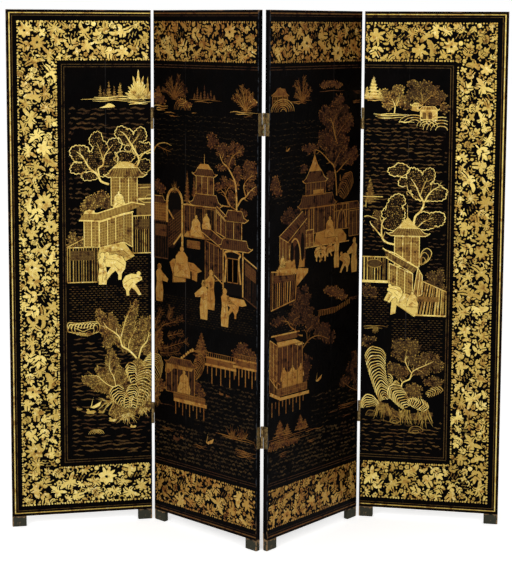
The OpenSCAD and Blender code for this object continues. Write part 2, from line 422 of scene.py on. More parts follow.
def rubbed_and_sheen_color(place, leaf, brown):
    """Brown where an arris is knocked; up the uprights that meet at a joint the arris instead gets a
    painted highlight, a grey sheen standing for light caught on the rounded arris.
    """
    across, _, up = parted(place)
    toward = {1: across, 4: times(across, -1.0)}
    # The painted highlight goes on the joint-side uprights, above the feet and below the top.
    upright = ranged(toward.get(leaf) or math_node("ABSOLUTE", across), 0.236, 0.242)
    above_foot = ranged(up, PANEL_FOOT + 0.03, PANEL_FOOT + 0.11)
    below_top = ranged(up, -PANEL_FOOT - 0.012, -PANEL_FOOT - 0.003, 1.0, 0.0)
    return mixed(times(upright, times(above_foot, below_top)), brown, PAINTED_SHEEN_GREY)


def lacquer_face(leaf):
    """One leaf's black ground: brown clouding, crackle, rubbed arrises with a painted grey highlight up the
    joint uprights, and the boards' seam.
    """
    material, shader, place = new_material(f"black_lacquer_{leaf}", Specular_IOR_Level=0.015, Metallic=0.0)
    place = leaf_place(place, leaf)
    wear = effect("arris", Place=place, Reach=0.0042, Breaks=38.0)["Wear"]
    crackle = effect("crackle", Place=place, Scale=170.0)
    cloud = ranged(noise(place, 5.0, 4.0, 0.6), 0.42, 0.7)
    seam_at = (LEAF_W / 2 - SEAM_INSET) * MM * (1 if leaf % 2 else -1)
    off = math_node("ABSOLUTE", less(parted(place)[0], seam_at))
    seam = times(ranged(off, 0.0004, 0.0016, 1.0, 0.0), cloud)
    color = mixed(seam, mixed(cloud, LACQUER, LACQUER_BROWN), SEAM_GREY)
    color = mixed(times(crackle["Scratches"], 0.35), color, SEAM_GREY)
    # Knocked arrises in brown wear, with a painted grey highlight up the joint uprights.
    color = mixed(wear, color, rubbed_and_sheen_color(place, leaf, RUBBED_BROWN))
    dull = ranged(noise(place, 24.0, 5.0), 0.35, 0.7, 0.24, 0.42)
    height = less(crackle["Height"], times(wear, 0.8))
    surface(shader, color, plus(dull, times(wear, 0.3)), height, 0.25, 0.0004)
    return material


def lacquered_edge(leaf):
    """Stiles and rails: thin black lacquer, brown on the arrises with a painted grey highlight on those up
    the joints, chipped paint and wood at the feet.
    """
    material, shader, place = new_material(f"lacquered_edge_{leaf}", Specular_IOR_Level=0.05, Metallic=0.0)
    place = leaf_place(place, leaf)
    arris = effect("arris", Place=place, Reach=0.0052, Breaks=26.0)
    grain = effect("grain", Place=place, Fineness=1.0)
    rough_edge = less(noise(place, 45.0, 5.0, 0.7), 0.5)
    level = plus(parted(place)[2], times(rough_edge, 0.02))
    foot = ranged(level, PANEL_FOOT - 0.006, PANEL_FOOT + 0.002, 1.0, 0.0)
    chips = ranged(noise(place, 70.0, 6.0, 0.75), 0.58, 0.68)
    knocked = plus(arris["Distance"], times(rough_edge, 0.03))
    chips = math_node("MAXIMUM", chips, ranged(knocked, 0.0015, 0.004, 1.0, 0.0))
    wood = mixed(grain["Grain"], RUBBED_BROWN, BARE_WOOD)
    streak = ranged(noise(stretched(place, (30.0, 30.0, 5.0)), 1.0, 5.0), 0.52, 0.7)
    black = mixed(streak, LACQUER, LACQUER_STREAK)
    # Knocked arrises show wood, with a painted grey highlight up the joint uprights.
    color = mixed(arris["Wear"], black, rubbed_and_sheen_color(place, leaf, wood))
    color = mixed(foot, color, mixed(chips, FOOT_PAINT, wood))
    dull = plus(times(arris["Wear"], 0.25), ranged(foot, 0, 1, 0.36, 0.6))
    height = plus(grain["Height"], times(chips, -0.5))
    surface(shader, color, dull, height, 0.35, 0.0005)
    return material


def bare_board():
    """The inner boards' plain wood."""
    material, shader, place = new_material("board_wood", Specular_IOR_Level=0.3)
    grain = effect("grain", Place=place, Fineness=0.6)
    color = mixed(grain["Grain"], BOARD_DARK, BOARD_PALE)
    dull = ranged(grain["Grain"], 0.3, 0.7, 0.5, 0.75)
    surface(shader, color, dull, grain["Height"], 0.4, 0.0005)
    return material


def aged_brass():
    """Brass gone brown, with green in the hollows and the colour rubbed back in patches."""
    material, shader, place = new_material("aged_brass", Metallic=0.85)
    brown = ranged(noise(place, 130.0, 5.0, 0.65), 0.4, 0.62)
    green = ranged(noise(place, 75.0, 4.0, 0.7), 0.56, 0.66)
    color = mixed(green, mixed(brown, BRASS, BRASS_BROWN), BRASS_GREEN)
    height = noise(place, 600.0, 4.0)
    surface(shader, color, ranged(brown, 0, 1, 0.38, 0.62), height, 0.3, 0.0003)
    return material


def gilding(name, warmth, rub):
    """Raised gilt, as full as each point's own tone."""
    material, shader, place = new_material(name, Specular_IOR_Level=0.03)
    tone = add_node(shader.id_data, "ShaderNodeAttribute", attribute_name="tone")["Fac"]
    gilt = effect("gilt", Place=place, Tone=tone, Warmth=warmth, Rub=rub)
    feed(gilt["Metallic"], shader.inputs["Metallic"])
    surface(shader, gilt["Color"], gilt["Roughness"], gilt["Height"], 0.3, 0.0002)
    return material


def leaf_gildings(name, outer_warmth, inner_warmth, rub):
    """A gilding for each leaf, as lit and shaded copies: the two inner leaves get a warmth of their own,
    which is painted shade and reflection for how their slant to the light makes the gold look browner.
    """
    warmths = {leaf: outer_warmth if leaf in OUTER_LEAVES else inner_warmth for leaf in LEAVES}
    return {leaf: gilding(f"{name}_{leaf}", warmth, rub) for leaf, warmth in warmths.items()}


def dress_cad():
    """Gives each solid its finish, by the ends of its name."""
    brass, board = aged_brass(), bare_board()
    lacquers = {leaf: (lacquer_face(leaf), lacquered_edge(leaf)) for leaf in LEAVES}
    for name, node in frame["nodes"].items():
        material = brass
        if not name.startswith("hinge_") and not name.endswith("_screws"):
            face, edge = lacquers[int(name.split("_")[1])]
            material = {"lacquer": face, "board": board}.get(name.split("_")[-1], edge)
        if not node.data.materials:
            node.data.materials.append(material)
        for slot in node.material_slots:
            slot.material = material


# ---------------------------------------------------------------- raised work on a leaf


class Relief:
    """Closed low shapes on one face of a leaf, each point with a tone."""

    def __init__(self):
        self.points = []
        self.faces = []
        self.tones = []

    def shape(self, points, faces, tone):
        first = len(self.points)
        self.points.extend(points)
        self.faces.extend([tuple(first + i for i in face) for face in faces])
        self.tones.extend([tone] * len(points))

    def plate(self, outline, tone, height):
        """A flat raised shape with upright sides."""
        count = len(outline)
        points = [(x, -height, z) for x, z in outline] + [(x, SUNK, z) for x, z in outline]
        faces = [tuple(range(count)), tuple(reversed(range(count, 2 * count)))]
        faces += [(i, count + i, count + (i + 1) % count, (i + 1) % count) for i in range(count)]
        self.shape(points, faces, tone)

    def cushion(self, outline, tone, height):
        """A low crowned shape round its own middle."""
        count = len(outline)
        x, z = np.mean(outline, axis=0)
        points = [(x, SUNK, z) for x, z in outline] + [(x, -height, z), (x, SUNK + 0.02, z)]
        faces = []
        for i in range(count):
            j = (i + 1) % count
            faces += [(i, j, count), (j, i, count + 1)]
        self.shape(points, faces, tone)

    def ribbon(self, line, widths, tone, height):
        """A raised line of changing width with square ends."""
        points = []
        for (x, z), (dx, dz) in zip(line, sideways(line, np.asarray(widths)[:, None])):
            points += [(x + dx, SUNK, z + dz), (x + dx, -height, z + dz)]
            points += [(x - dx, -height, z - dz), (x - dx, SUNK, z - dz)]
        faces = [(0, 1, 2, 3)]
        for a in range(0, 4 * len(line) - 4, 4):
            faces += [(a + k, a + 4 + k, a + 4 + m, a + m) for k, m in ((0, 1), (1, 2), (2, 3), (3, 0))]
        last = 4 * (len(line) - 1)
        self.shape(points, faces + [(last + 3, last + 2, last + 1, last)], tone)

    def mesh(self, name):
        mesh = bpy.data.meshes.new(name)
        mesh.from_pydata(self.points, [], self.faces)
        tones = mesh.attributes.new("tone", "FLOAT", "POINT")
        tones.data.foreach_set("value", np.asarray(self.tones, np.float32))
        mesh.update()
        return mesh


def sideways(line, width):
    """Half a width to the left of each point of a line."""
    along = np.gradient(np.asarray(line, float), axis=0)
    along /= np.maximum(np.linalg.norm(along, axis=1, keepdims=True), 1e-9)
    return np.stack([-along[:, 1], along[:, 0]], axis=1) * (width / 2)


def run_clear(points):
    """An outline without repeated points, turning anticlockwise."""
    kept = [p for i, p in enumerate(points) if math.dist(p, points[i - 1]) > 0.05]
    if len(kept) < 3:
        return []
    area = sum(a[0] * b[1] - b[0] * a[1] for a, b in zip(kept, kept[1:] + kept[:1]))
    if abs(area) < 0.5:
        return []
    return kept if area > 0 else kept[::-1]


def cut_outline(points, low, high):
    """The part of an outline between two uprights."""
    for limit, keep_above in ((low, True), (high, False)):
        kept = []
        for a, b in zip(points, list(points[1:]) + [points[0]]):
            inside_a = (a[0] >= limit) == keep_above
            inside_b = (b[0] >= limit) == keep_above
            if inside_a:
                kept.append(a)
            if inside_a != inside_b:
                share = (limit - a[0]) / (b[0] - a[0])
                kept.append((limit, a[1] + share * (b[1] - a[1])))
        points = kept
        if len(points) < 3:
            return []
    return run_clear([tuple(p) for p in points])


def cut_line(line, widths, low, high):
    """The runs of a line between two uprights, as (points, widths)."""
    runs, now = [], []
    for i, (point, width) in enumerate(zip(line, widths)):
        before, width_before = line[i - 1], widths[i - 1]
        crossed = [a for a in (low, high) if i and (before[0] - a) * (point[0] - a) < 0]
        for share in sorted((a - before[0]) / (point[0] - before[0]) for a in crossed):
            now.append((between(before, point, share), width_before + share * (width - width_before)))
            if len(now) > 1:
                runs.append(now)
                now = []
        if low <= point[0] <= high:
            now.append((tuple(point), width))
        else:
            runs.append(now)
            now = []
    runs.append(now)
    return [tuple(zip(*run)) for run in runs if len(run) > 1]


DAB_SIDES = 5


class Brush:
    """Draws on the unfolded screen, and shares what it draws out to the leaves it crosses."""

    def start(self):
        self.reliefs = {leaf: Relief() for leaf in LEAVES}
        self.layer = 0

    def height(self, over):
        return LOWEST + LAYER_STEP * self.layer + OVER_STEP * over

    def spans(self, across):
        """The leaves that some shape lies on: relief, left side, and the uprights where gilt ends."""
        for leaf in LEAVES:
            start = (leaf - 1) * LEAF_W
            if max(across) > start and min(across) < start + LEAF_W:
                yield self.reliefs[leaf], start, start + EDGE_CLEAR, start + LEAF_W - EDGE_CLEAR

    def fill(self, outline, tone, over=0):
        for relief, start, low, high in self.spans([p[0] for p in outline]):
            cut = cut_outline(list(outline), low, high)
            if cut:
                relief.plate([(x - start, z + FOOT_H) for x, z in cut], tone, self.height(over))

    def dab(self, at, size, tone, chance, over=1):
        """One small uneven spot of gilt."""
        for relief, start, low, high in self.spans([at[0]]):
            if low + size < at[0] < high - size:
                x, z = at[0] - start, at[1] + FOOT_H
                turn = chance.uniform(0, 1.2)
                ring = []
                for i in range(DAB_SIDES):
                    reach = size * chance.uniform(0.75, 1.25)
                    angle = turn + i * math.tau / DAB_SIDES
                    ring.append((x + reach * math.cos(angle), z + reach * math.sin(angle)))
                relief.plate(ring, min(max(tone, 0.0), 1.0), self.height(over))

    def stroke(self, line, width, tone, over=1, taper=(1.0, 1.0)):
        """A line whose ends are taper times its width, fullest in its first part."""
        widths = []
        for i in range(len(line)):
            t = i / (len(line) - 1)
            share = min(1.0, taper[0] + (1 - taper[0]) * t * 4, taper[1] + (1 - taper[1]) * (1 - t) * 1.6)
            widths.append(width * share)
        for relief, start, low, high in self.spans([p[0] for p in line]):
            for points, wide in cut_line(line, widths, low, high):
                relief.ribbon([(x - start, z + FOOT_H) for x, z in points], wide, tone, self.height(over))

    def put(self, name, finishes, back=False):
        """Hands each leaf its share; on the back the leaves run the other way."""
        for place in LEAVES:
            leaf = len(LEAVES) + 1 - place if back else place
            put_relief(f"{name}_{leaf}", self.reliefs[place].mesh(name), leaf, finishes[leaf], back)


def put_relief(name, mesh, leaf, material, back=False):
    """Places a relief on its leaf and rides it on the leaf's body."""
    mesh.transform(leaf_matrix(leaf, back))
    mesh.materials.clear()
    mesh.materials.append(material)
    piece = new_object(name, mesh)
    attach(piece, f"panel_{leaf}")


pen = Brush()
fill, dab, stroke = pen.fill, pen.dab, pen.stroke

# ---------------------------------------------------------------- motifs set out by Geometry Nodes


def scatter_tree():
    """Puts a numbered motif on each point, turned, sized and toned by the point's own values."""
    given = [("Geometry", "Geometry"), ("Motifs", "Collection"), ("Finish", "Material")]
    given += [("Size", "Float", 1.0), ("Tone Spread", "Float", 0.1), ("Seed", "Int")]
    tree, given = new_group("set out motifs", given, "GeometryNodeTree")

    def named(label, kind):
        return add_node(tree, "GeometryNodeInputNamedAttribute", {"Name": label}, data_type=kind)[0]

    children = {"Collection": given["Motifs"], "Separate Children": True, "Reset Children": True}
    motifs = add_node(tree, "GeometryNodeCollectionInfo", children)[0]
    turn = add_node(tree, "ShaderNodeCombineXYZ", {"Y": named("spin", "FLOAT")})[0]
    sized = {0: named("scale", "FLOAT_VECTOR"), "Scale": given["Size"]}
    grown = add_node(tree, "ShaderNodeVectorMath", sized, operation="SCALE")[0]
    laid = {"Points": given["Geometry"], "Instance": motifs, "Pick Instance": True}
    laid |= {"Rotation": turn, "Scale": grown, "Instance Index": named("pick", "INT")}
    put = add_node(tree, "GeometryNodeInstanceOnPoints", laid)[0]
    spread = {2: times(given["Tone Spread"], -1.0), 3: given["Tone Spread"], "Seed": given["Seed"]}
    change = add_node(tree, "FunctionNodeRandomValue", spread)[1]
    toned = {"Geometry": put, "Name": "tone", "Value": plus(named("tone", "FLOAT"), change)}
    keep = add_node(tree, "GeometryNodeStoreNamedAttribute", toned, domain="INSTANCE")[0]
    real = add_node(tree, "GeometryNodeRealizeInstances", {0: keep})[0]
    painted = {"Geometry": real, "Material": given["Finish"]}
    return end_group(tree, Geometry=add_node(tree, "GeometryNodeSetMaterial", painted)[0])


SCATTER = scatter_tree()
SOCKETS = {s.name: s.identifier for s in SCATTER.interface.items_tree if s.in_out == "INPUT"}


def motif_collection(name, reliefs):
    collection = bpy.data.collections.new(name)
    for i, relief in enumerate(reliefs):
        mesh = relief.mesh(f"{name}_{i:02d}")
        mesh.attributes.remove(mesh.attributes["tone"])
        collection.objects.link(bpy.data.objects.new(f"{name}_{i:02d}", mesh))
    return collection


def set_out(name, spots, motifs, material, leaf, seed, spread):
    """Spots are (across, up, pick, turn, scale x, scale z, tone) in leaf millimetres."""
    x, z, pick, turn, wide, high, tone = np.asarray(spots, np.float64).T
    cloud = bpy.data.meshes.new(name)
    cloud.from_pydata(list(zip(x, np.zeros(len(x)), z + FOOT_H)), [], [])
    cloud.attributes.new("pick", "INT", "POINT").data.foreach_set("value", pick.astype(np.int32))
    cloud.attributes.new("spin", "FLOAT", "POINT").data.foreach_set("value", -turn.astype(np.float32))
    cloud.attributes.new("tone", "FLOAT", "POINT").data.foreach_set("value", tone.astype(np.float32))
    scale = np.stack([wide, np.ones(len(x)), high], axis=1).astype(np.float32)
    cloud.attributes.new("scale", "FLOAT_VECTOR", "POINT").data.foreach_set("vector", scale.ravel())
    carrier = new_object(name + "_points", cloud)
    modifier = carrier.modifiers.new("motifs", "NODES")
    modifier.node_group = SCATTER
    given = {"Motifs": motifs, "Finish": material, "Size": 1.0, "Tone Spread": spread, "Seed": seed}
    for label, value in given.items():
        modifier[SOCKETS[label]] = value
    mesh = bpy.data.meshes.new_from_object(carrier.evaluated_get(bpy.context.evaluated_depsgraph_get()))
    mesh.name = name
    bpy.data.objects.remove(carrier)
    put_relief(name, mesh, leaf, material)


# ---------------------------------------------------------------- the flower border

MOTIF_SEED = 4
CLUMPS = ((5, 31, 18), (6, 29, 16), (4, 35, 20), (6, 33, 14), (5, 26, 19))
SPRAYS = ((2, 24, 14), (3, 22, 12), (2, 28, 15))


def angles(count):
    return [2 * math.pi * i / count for i in range(count)]


def turned_points(points, angle, at=(0.0, 0.0), grow=1.0):
    c, s = math.cos(angle), math.sin(angle)
    return [(at[0] + grow * (c * x - s * z), at[1] + grow * (s * x + c * z)) for x, z in points]


def leaf_shape(length, width, teeth=0):
    """A pointed leaf from the origin along +x."""
    upper = []
    steps = 3 + teeth
    for i in range(1, steps + 1):
        t = i / (steps + 1)
        notch = 0.62 if teeth and i % 2 == 0 else 1.0
        upper.append((length * t, width / 2 * math.sin(math.pi * t**0.8) * notch))
    return [(0.0, 0.0)] + [(x, -z) for x, z in upper] + [(length, 0.0)] + upper[::-1]


def radial_shape(radius, lobes, depth, points_per_lobe, squash=1.0):
    """A round-lobed flower or fruit."""
    outline = []
    for i in range(lobes * points_per_lobe):
        wave = math.sin(math.pi * (i % points_per_lobe) / points_per_lobe)
        angle = 2 * math.pi * i / (lobes * points_per_lobe)
        r = radius * (1 - depth + depth * wave)
        outline.append((r * math.cos(angle), squash * r * math.sin(angle)))
    return outline


def hook_line():
    """A curl that closes in a little."""
    return [turned_points([(11 * (1 - 0.04 * i), 0)], 2 * math.pi * 0.09 * i)[0] for i in range(6)]


def ribbon_outline(line, width):
    """A thin line's outline, used to find the room that it takes."""
    side = sideways(line, width)
    return np.vstack([line + side, (line - side)[::-1]])


def blade(length, width, lobes=3, bow=0.0, slit=0.0):
    """A round-lobed leaf from the origin along +x, whole or as two halves beside a dark vein."""
    halves = []
    steps = lobes * 3
    for side in (1, -1):
        points = []
        for i in range(1, steps + 1):
            t = i / (steps + 0.6)
            half = body_half(t, width) * (0.72 + 0.28 * abs(math.sin(math.pi * lobes * t)))
            points.append((length * t, bow * math.sin(math.pi * t) + side * half))
        halves.append(points)
    if not slit:
        return [[(0.0, 0.0)] + halves[1] + [(length, 0.0)] + halves[0][::-1]]
    made = []
    for side, points in zip((1, -1), halves):
        vein = [(length * t, bow * math.sin(math.pi * t) + side * slit / 2) for t in (0.85, 0.5, 0.12)]
        made.append(points + vein)
    return made


def leaf_clump(chance, leaves, length, width):
    """Broad lobed leaves springing from one heart, no two alike."""
    made = [radial_shape(width * 0.6, 5, 0.2, 2)]
    for angle in angles(leaves):
        spread = angle + chance.uniform(-0.42, 0.42)
        reach = length * chance.uniform(0.55, 1.28)
        slit = 1.6 if chance.random() < 0.5 else 0.0
        lobes = chance.choice((2, 3, 4))
        for part in blade(reach, width * chance.uniform(0.75, 1.35), lobes, chance.uniform(-6, 6), slit):
            made.append(turned_points(part, spread))
    return made


def leaf_spray(chance, pairs, length, width):
    """A bent stem with lobed leaves to both sides and one at its tip."""
    bend = chance.uniform(-0.5, 0.5)
    made, at, way = [], (0.0, 0.0), 0.0
    for i in range(pairs):
        step = turned_points([(length * 0.52, 0)], way, at)[0]
        made.append(([at, between(at, step, 0.5), step], 5.0))
        for side in (1, -1):
            reach = length * chance.uniform(0.75, 1.1)
            for part in blade(reach, width * chance.uniform(0.8, 1.2), 3, 0.0, 1.4 if i % 2 else 0.0):
                made.append(turned_points(part, way + side * chance.uniform(0.7, 1.1), step))
        at = step
        way += bend
    for part in blade(length * 1.1, width, 3):
        made.append(turned_points(part, way, at))
    middle = (length * 0.5 * pairs * 0.6, 0.0)
    return [
        ([(x - middle[0], z) for x, z in shape[0]], shape[1])
        if isinstance(shape, tuple)
        else [(x - middle[0], z) for x, z in shape]
        for shape in made
    ]


def petal(length, width, angle, out):
    """A pointed leaf that starts a little way out from the origin."""
    at = (out * math.cos(angle), out * math.sin(angle))
    return turned_points(leaf_shape(length, width), angle, at)


def border_motifs():
    """Each motif is a list of outlines, or of (line, width) for a thin curl. Sizes in millimetres."""
    chance = random.Random(MOTIF_SEED)
    made = {}
    for i, (leaves, length, width) in enumerate(CLUMPS):
        made[f"clump_{i}"] = leaf_clump(chance, leaves, length, width)
    for i, (pairs, length, width) in enumerate(SPRAYS):
        made[f"spray_{i}"] = leaf_spray(chance, pairs, length, width)
    made["peony"] = [radial_shape(12, 6, 0.2, 2, 0.8)]
    for angle, reach in ((0.3, 12), (1.5, 10), (2.6, 13)):
        at = (13 * math.cos(angle), 11 * math.sin(angle))
        made["peony"].append(turned_points(radial_shape(reach, 4, 0.22, 3, 0.8), angle, at))
    made["peony"] += [turned_points(blade(30, 13)[0], a, (2, -2)) for a in (3.6, 4.4, 5.3)]
    made["lotus"] = [petal(27, 22, a, 2) for a in (0.2, 1.1, 2.0, 2.9)]
    made["lotus"] += [turned_points(blade(34, 13)[0], a) for a in (3.7, 4.3, 4.9, 5.6)]
    made["palm"] = [turned_points(blade(33, 13)[0], a) for a in (0.1, 0.75, 1.4, 2.05, 2.7)]
    made["palm"].append(turned_points(leaf_shape(24, 8), -1.2))
    wings = [turned_points(blade(22, 17, 2)[0], a, (1.5, 0)) for a in (0.6, -0.6, 2.5, -2.5)]
    made["butterfly"] = wings + [turned_points(leaf_shape(18, 5), 1.57, (1.5, -8))]
    made["zigzag"] = [([(-17, -9), (-8, 6), (-3, -7), (5, 9), (9, -5), (17, 8)], 2.8)]
    made["disc"] = [radial_shape(10.5, 12, 0.14, 2)]
    made["blossom"] = [petal(12, 12, a, 1) for a in angles(5)]
    made["fruit"] = [radial_shape(10, 6, 0.1, 2, 0.85), turned_points(leaf_shape(11, 7), 0.3, (9, 0))]
    made["trefoil"] = [turned_points(blade(18, 11, 2)[0], a) for a in (0.5, 1.6, 2.7)]
    made["hook"] = [(hook_line(), 4.2)]
    made["leaf"] = blade(27, 12, 3, 2.0)
    made["leaflet"] = [leaf_shape(16, 8)]
    made["bud"] = [radial_shape(4.6, 5, 0.15, 2)]
    return made


def motif_relief(shapes, height=BORDER_RISE):
    relief = Relief()
    for shape in shapes:
        if isinstance(shape, tuple):
            line, width = shape
            count = len(line)
            widths = [width * (0.45 if i in (0, count - 1) else 1.0) for i in range(count)]
            relief.ribbon(line, widths, 1.0, height * 0.7)
        else:
            relief.cushion(run_clear(shape), 1.0, height)
    return relief


CELL = 1.5


def covered_by(outline, x, z):
    """Whether points lie within an outline; x and z are numbers or grids of them."""
    within = np.zeros(np.shape(x), bool)
    for (x0, z0), (x1, z1) in zip(outline, np.roll(outline, -1, axis=0)):
        if z0 != z1:
            level = (z >= min(z0, z1)) & (z < max(z0, z1))
            within ^= level & (x < x0 + (z - z0) / (z1 - z0) * (x1 - x0))
    return within


def raster(shapes, spin, size):
    """The cells that a motif covers, as offsets from its middle."""
    outlines = []
    for shape in shapes:
        points = ribbon_outline(*shape) if isinstance(shape, tuple) else shape
        outlines.append(np.array(turned_points(points, spin, grow=size)) / CELL)
    both = np.vstack(outlines)
    low = np.floor(both.min(0)).astype(int)
    high = np.ceil(both.max(0)).astype(int)
    xs, zs = np.meshgrid(np.arange(low[0], high[0] + 1), np.arange(low[1], high[1] + 1), indexing="ij")
    covered = np.zeros(xs.shape, bool)
    for outline in outlines:
        covered |= covered_by(outline, xs, zs)
    return low, covered


def grown_once(mask):
    wide = np.pad(mask, 1)
    return wide[1:-1, 1:-1] | wide[:-2, 1:-1] | wide[2:, 1:-1] | wide[1:-1, :-2] | wide[1:-1, 2:]


LARGE = tuple(f"clump_{i}" for i in range(len(CLUMPS))) + tuple(f"spray_{i}" for i in range(len(SPRAYS)))
BORDER_ROUNDS = (
    # motifs, sizes, share of the band covered after it, most tries, overlap allowed, tone
    (LARGE + ("peony", "lotus"), (1.0, 1.2), 0.53, 4000, 0.06, 0.84),
    (LARGE + ("palm", "butterfly"), (0.62, 0.8), 0.59, 5000, 0.07, 0.80),
    (("fruit", "blossom", "trefoil", "leaf", "hook"), (0.8, 1.0), 0.64, 6000, 0.08, 0.76),
    (("leaflet", "bud", "hook"), (0.8, 1.0), 0.66, 6000, 0.10, 0.72),
)
PACKING_SEED = 20
TURNS = 24
DISC_PITCH = 400.0
DISC_STEPS = 5
DISC_INSET = 12.0
ZIGZAG_PITCH = 200.0
ZIGZAG_STEPS = 9
BUD_INSET = 4.2


def band_cells():
    """Cells of the band round the whole unfolded screen, open only where a leaf's face is."""
    nx, nz = int(FULL_W / CELL), int(PANEL_H / CELL)
    xs = (np.arange(nx) + 0.5) * CELL
    zs = (np.arange(nz) + 0.5) * CELL
    edge = np.minimum(np.minimum(xs, FULL_W - xs)[:, None], np.minimum(zs, PANEL_H - zs)[None, :])
    band = (edge > BAND_FROM) & (edge < BAND_TO)
    for joint in (1, 2, 3):
        middle = int(joint * LEAF_W / CELL)
        band[middle - 1 : middle + 2] = False
    return band


class Packing:
    """The border's band: its motifs, its cells that are still free, and the spots laid so far."""

    def __init__(self, motifs):
        self.motifs = motifs
        self.chance = random.Random(PACKING_SEED)
        self.band = band_cells()
        self.free = self.band.copy()
        self.spots = []
        self.masks = {}

    def mask(self, name, size, turn):
        key = (name, size, turn)
        if key not in self.masks:
            self.masks[key] = raster(self.motifs[name], turn * math.tau / TURNS, size)
        return self.masks[key]

    def lay(self, name, size, turn, at, overlap, tone, clear=0):
        """Lays a motif where its cells are in the band and nearly all free; clear cells stay round it."""
        low, mask = self.mask(name, size, turn)
        cell = int(at[0] / CELL), int(at[1] / CELL)
        x0, z0 = cell[0] + low[0], cell[1] + low[1]
        x1, z1 = x0 + mask.shape[0], z0 + mask.shape[1]
        far, top = self.free.shape
        if x0 < clear or z0 < clear or x1 >= far - clear or z1 >= top - clear:
            return
        if not self.band[x0:x1, z0:z1][mask].all():
            return
        if np.count_nonzero(self.free[x0:x1, z0:z1][mask]) < (1 - overlap) * np.count_nonzero(mask):
            return
        taken = np.pad(mask, clear)
        for _ in range(clear):
            taken = grown_once(taken)
        self.free[x0 - clear : x1 + clear, z0 - clear : z1 + clear] &= ~taken
        pick, spin = list(self.motifs).index(name), turn * math.tau / TURNS
        self.spots.append((cell[0] * CELL, cell[1] * CELL, pick, spin, size, size, tone))

    def lay_marks(self):
        """Discs and zigzags at a steady pitch."""
        inner = BAND_TO - DISC_INSET
        for step in range(DISC_STEPS):
            on = step * DISC_PITCH
            beside = (inner, 195 + on), (FULL_W - inner, 80 + on)
            for at in (*beside, (300 + on, inner), (300 + on, PANEL_H - 48)):
                self.lay("disc", 1.0, 0, at, 0, 0.9)
        for step in range(ZIGZAG_STEPS):
            on = step * ZIGZAG_PITCH
            for at in ((122, 190 + on), (FULL_W - 120, 100 + on)):
                self.lay("zigzag", 1.0, self.chance.choice((3, 4, 8)), at, 0, 0.7, 3)
            for at in ((240 + on, 130), (235 + on, PANEL_H - 85)):
                self.lay("zigzag", 1.0, self.chance.choice((0, 1, 11)), at, 0, 0.7, 3)

    def lay_round(self, kinds, sizes, cover, tries, overlap, tone):
        """Tries motifs at random free cells until the wanted share of the band is covered."""
        whole = np.count_nonzero(self.band)
        cells = np.argwhere(self.free)
        for _ in range(tries):
            at = cells[self.chance.randrange(len(cells))] * CELL
            kind, size = self.chance.choice(kinds), self.chance.choice(sizes)
            self.lay(kind, size, self.chance.randrange(TURNS), at, overlap, tone)
            if whole - np.count_nonzero(self.free) > cover * whole:
                break

    def lay_rim(self, rim):
        """A row of buds all round, at one distance from the edge."""
        far, top = FULL_W - rim, PANEL_H - rim
        for end, fixed, rises in ((far, rim, False), (far, top, False), (top, rim, True), (top, far, True)):
            along = rim
            while along < end:
                size = self.chance.choice((0.7, 0.85, 1.0))
                at = (fixed, along) if rises else (along, fixed)
                self.lay("bud", size, self.chance.randrange(3), at, 0.9, 0.78)
                along += self.chance.uniform(6.5, 13.0)


def set_out_border():
    """Packs the band from the largest motifs to the smallest."""
    packing = Packing(border_motifs())
    packing.lay_marks()
    for laying in BORDER_ROUNDS:
        packing.lay_round(*laying)
    for rim in (BAND_FROM + BUD_INSET, BAND_TO - BUD_INSET):
        packing.lay_rim(rim)
    return packing.motifs, np.array(packing.spots)


BORDER_TONE_SEED = 7
BORDER_TONE_SPREAD = 0.13
BORDER_PAINTED_SHADE = {
    # painted light and shade: change of tone on the uprights, the top band and the bottom band of each
    # leaf, for how the light falls on each leaf and band
    1: (0.03, 0.0, 0.05),
    2: (0.0, -0.09, -0.10),
    3: (0.0, -0.13, -0.14),
    4: (-0.04, -0.09, -0.04),
}


def make_border(finishes):
    motifs, spots = set_out_border()
    collection = motif_collection("border_motif", [motif_relief(shapes) for shapes in motifs.values()])
    for leaf in LEAVES:
        start = (leaf - 1) * LEAF_W
        here = spots[(spots[:, 0] >= start) & (spots[:, 0] < start + LEAF_W)]
        here[:, 0] -= start
        beside, above, below = BORDER_PAINTED_SHADE[leaf]
        top = here[:, 1] > PANEL_H - BAND_TO
        foot = here[:, 1] < BAND_TO
        # Painted light and shade: the border's tone is raised or lowered by leaf and band.
        here[:, 6] += np.where(top, above, np.where(foot, below, beside))
        seed = BORDER_TONE_SEED + leaf
        set_out(f"gilt_border_{leaf}", here, collection, finishes[leaf], leaf, seed, BORDER_TONE_SPREAD)


# ---------------------------------------------------------------- lines round the border


def frame_line(inset, widths, tones, over=0):
    """A line all round the unfolded screen: uprights first, then level runs; tones by leaf."""
    far, top = FULL_W - inset, PANEL_H - inset
    for across in (inset, far):
        stroke(((across, inset), (across, top)), widths[0], tones[0], over)
    for leaf in LEAVES:
        start, end = (leaf - 1) * LEAF_W, leaf * LEAF_W
        for up in (inset, top):
            ends = (max(start, inset - widths[0] / 2), up), (min(end, far + widths[0] / 2), up)
            stroke(ends, widths[1], tones[1 if leaf in OUTER_LEAVES else 2], over)


def make_lines(finishes):
    pen.start()
    # The level runs on the inner leaves are given less tone than on the outer leaves: painted shade for the
    # inner leaves' slant to the light.
    frame_line(GOLD_LINE_AT, (7.0, 6.0), (0.24, 0.22, 0.16))
    frame_line(GOLD_LINE_AT, (3.0, 2.4), (0.93, 0.78, 0.42), 1)
    frame_line(THIN_LINE_AT, (THIN_LINE_W, THIN_LINE_W), (0.34, 0.30, 0.18))
    for at in FILLETS_AT:
        frame_line(at, (FILLET_W, FILLET_W), (0.25, 0.22, 0.17))
    pen.put("gilt_lines", finishes)


# ---------------------------------------------------------------- the landscape: kit

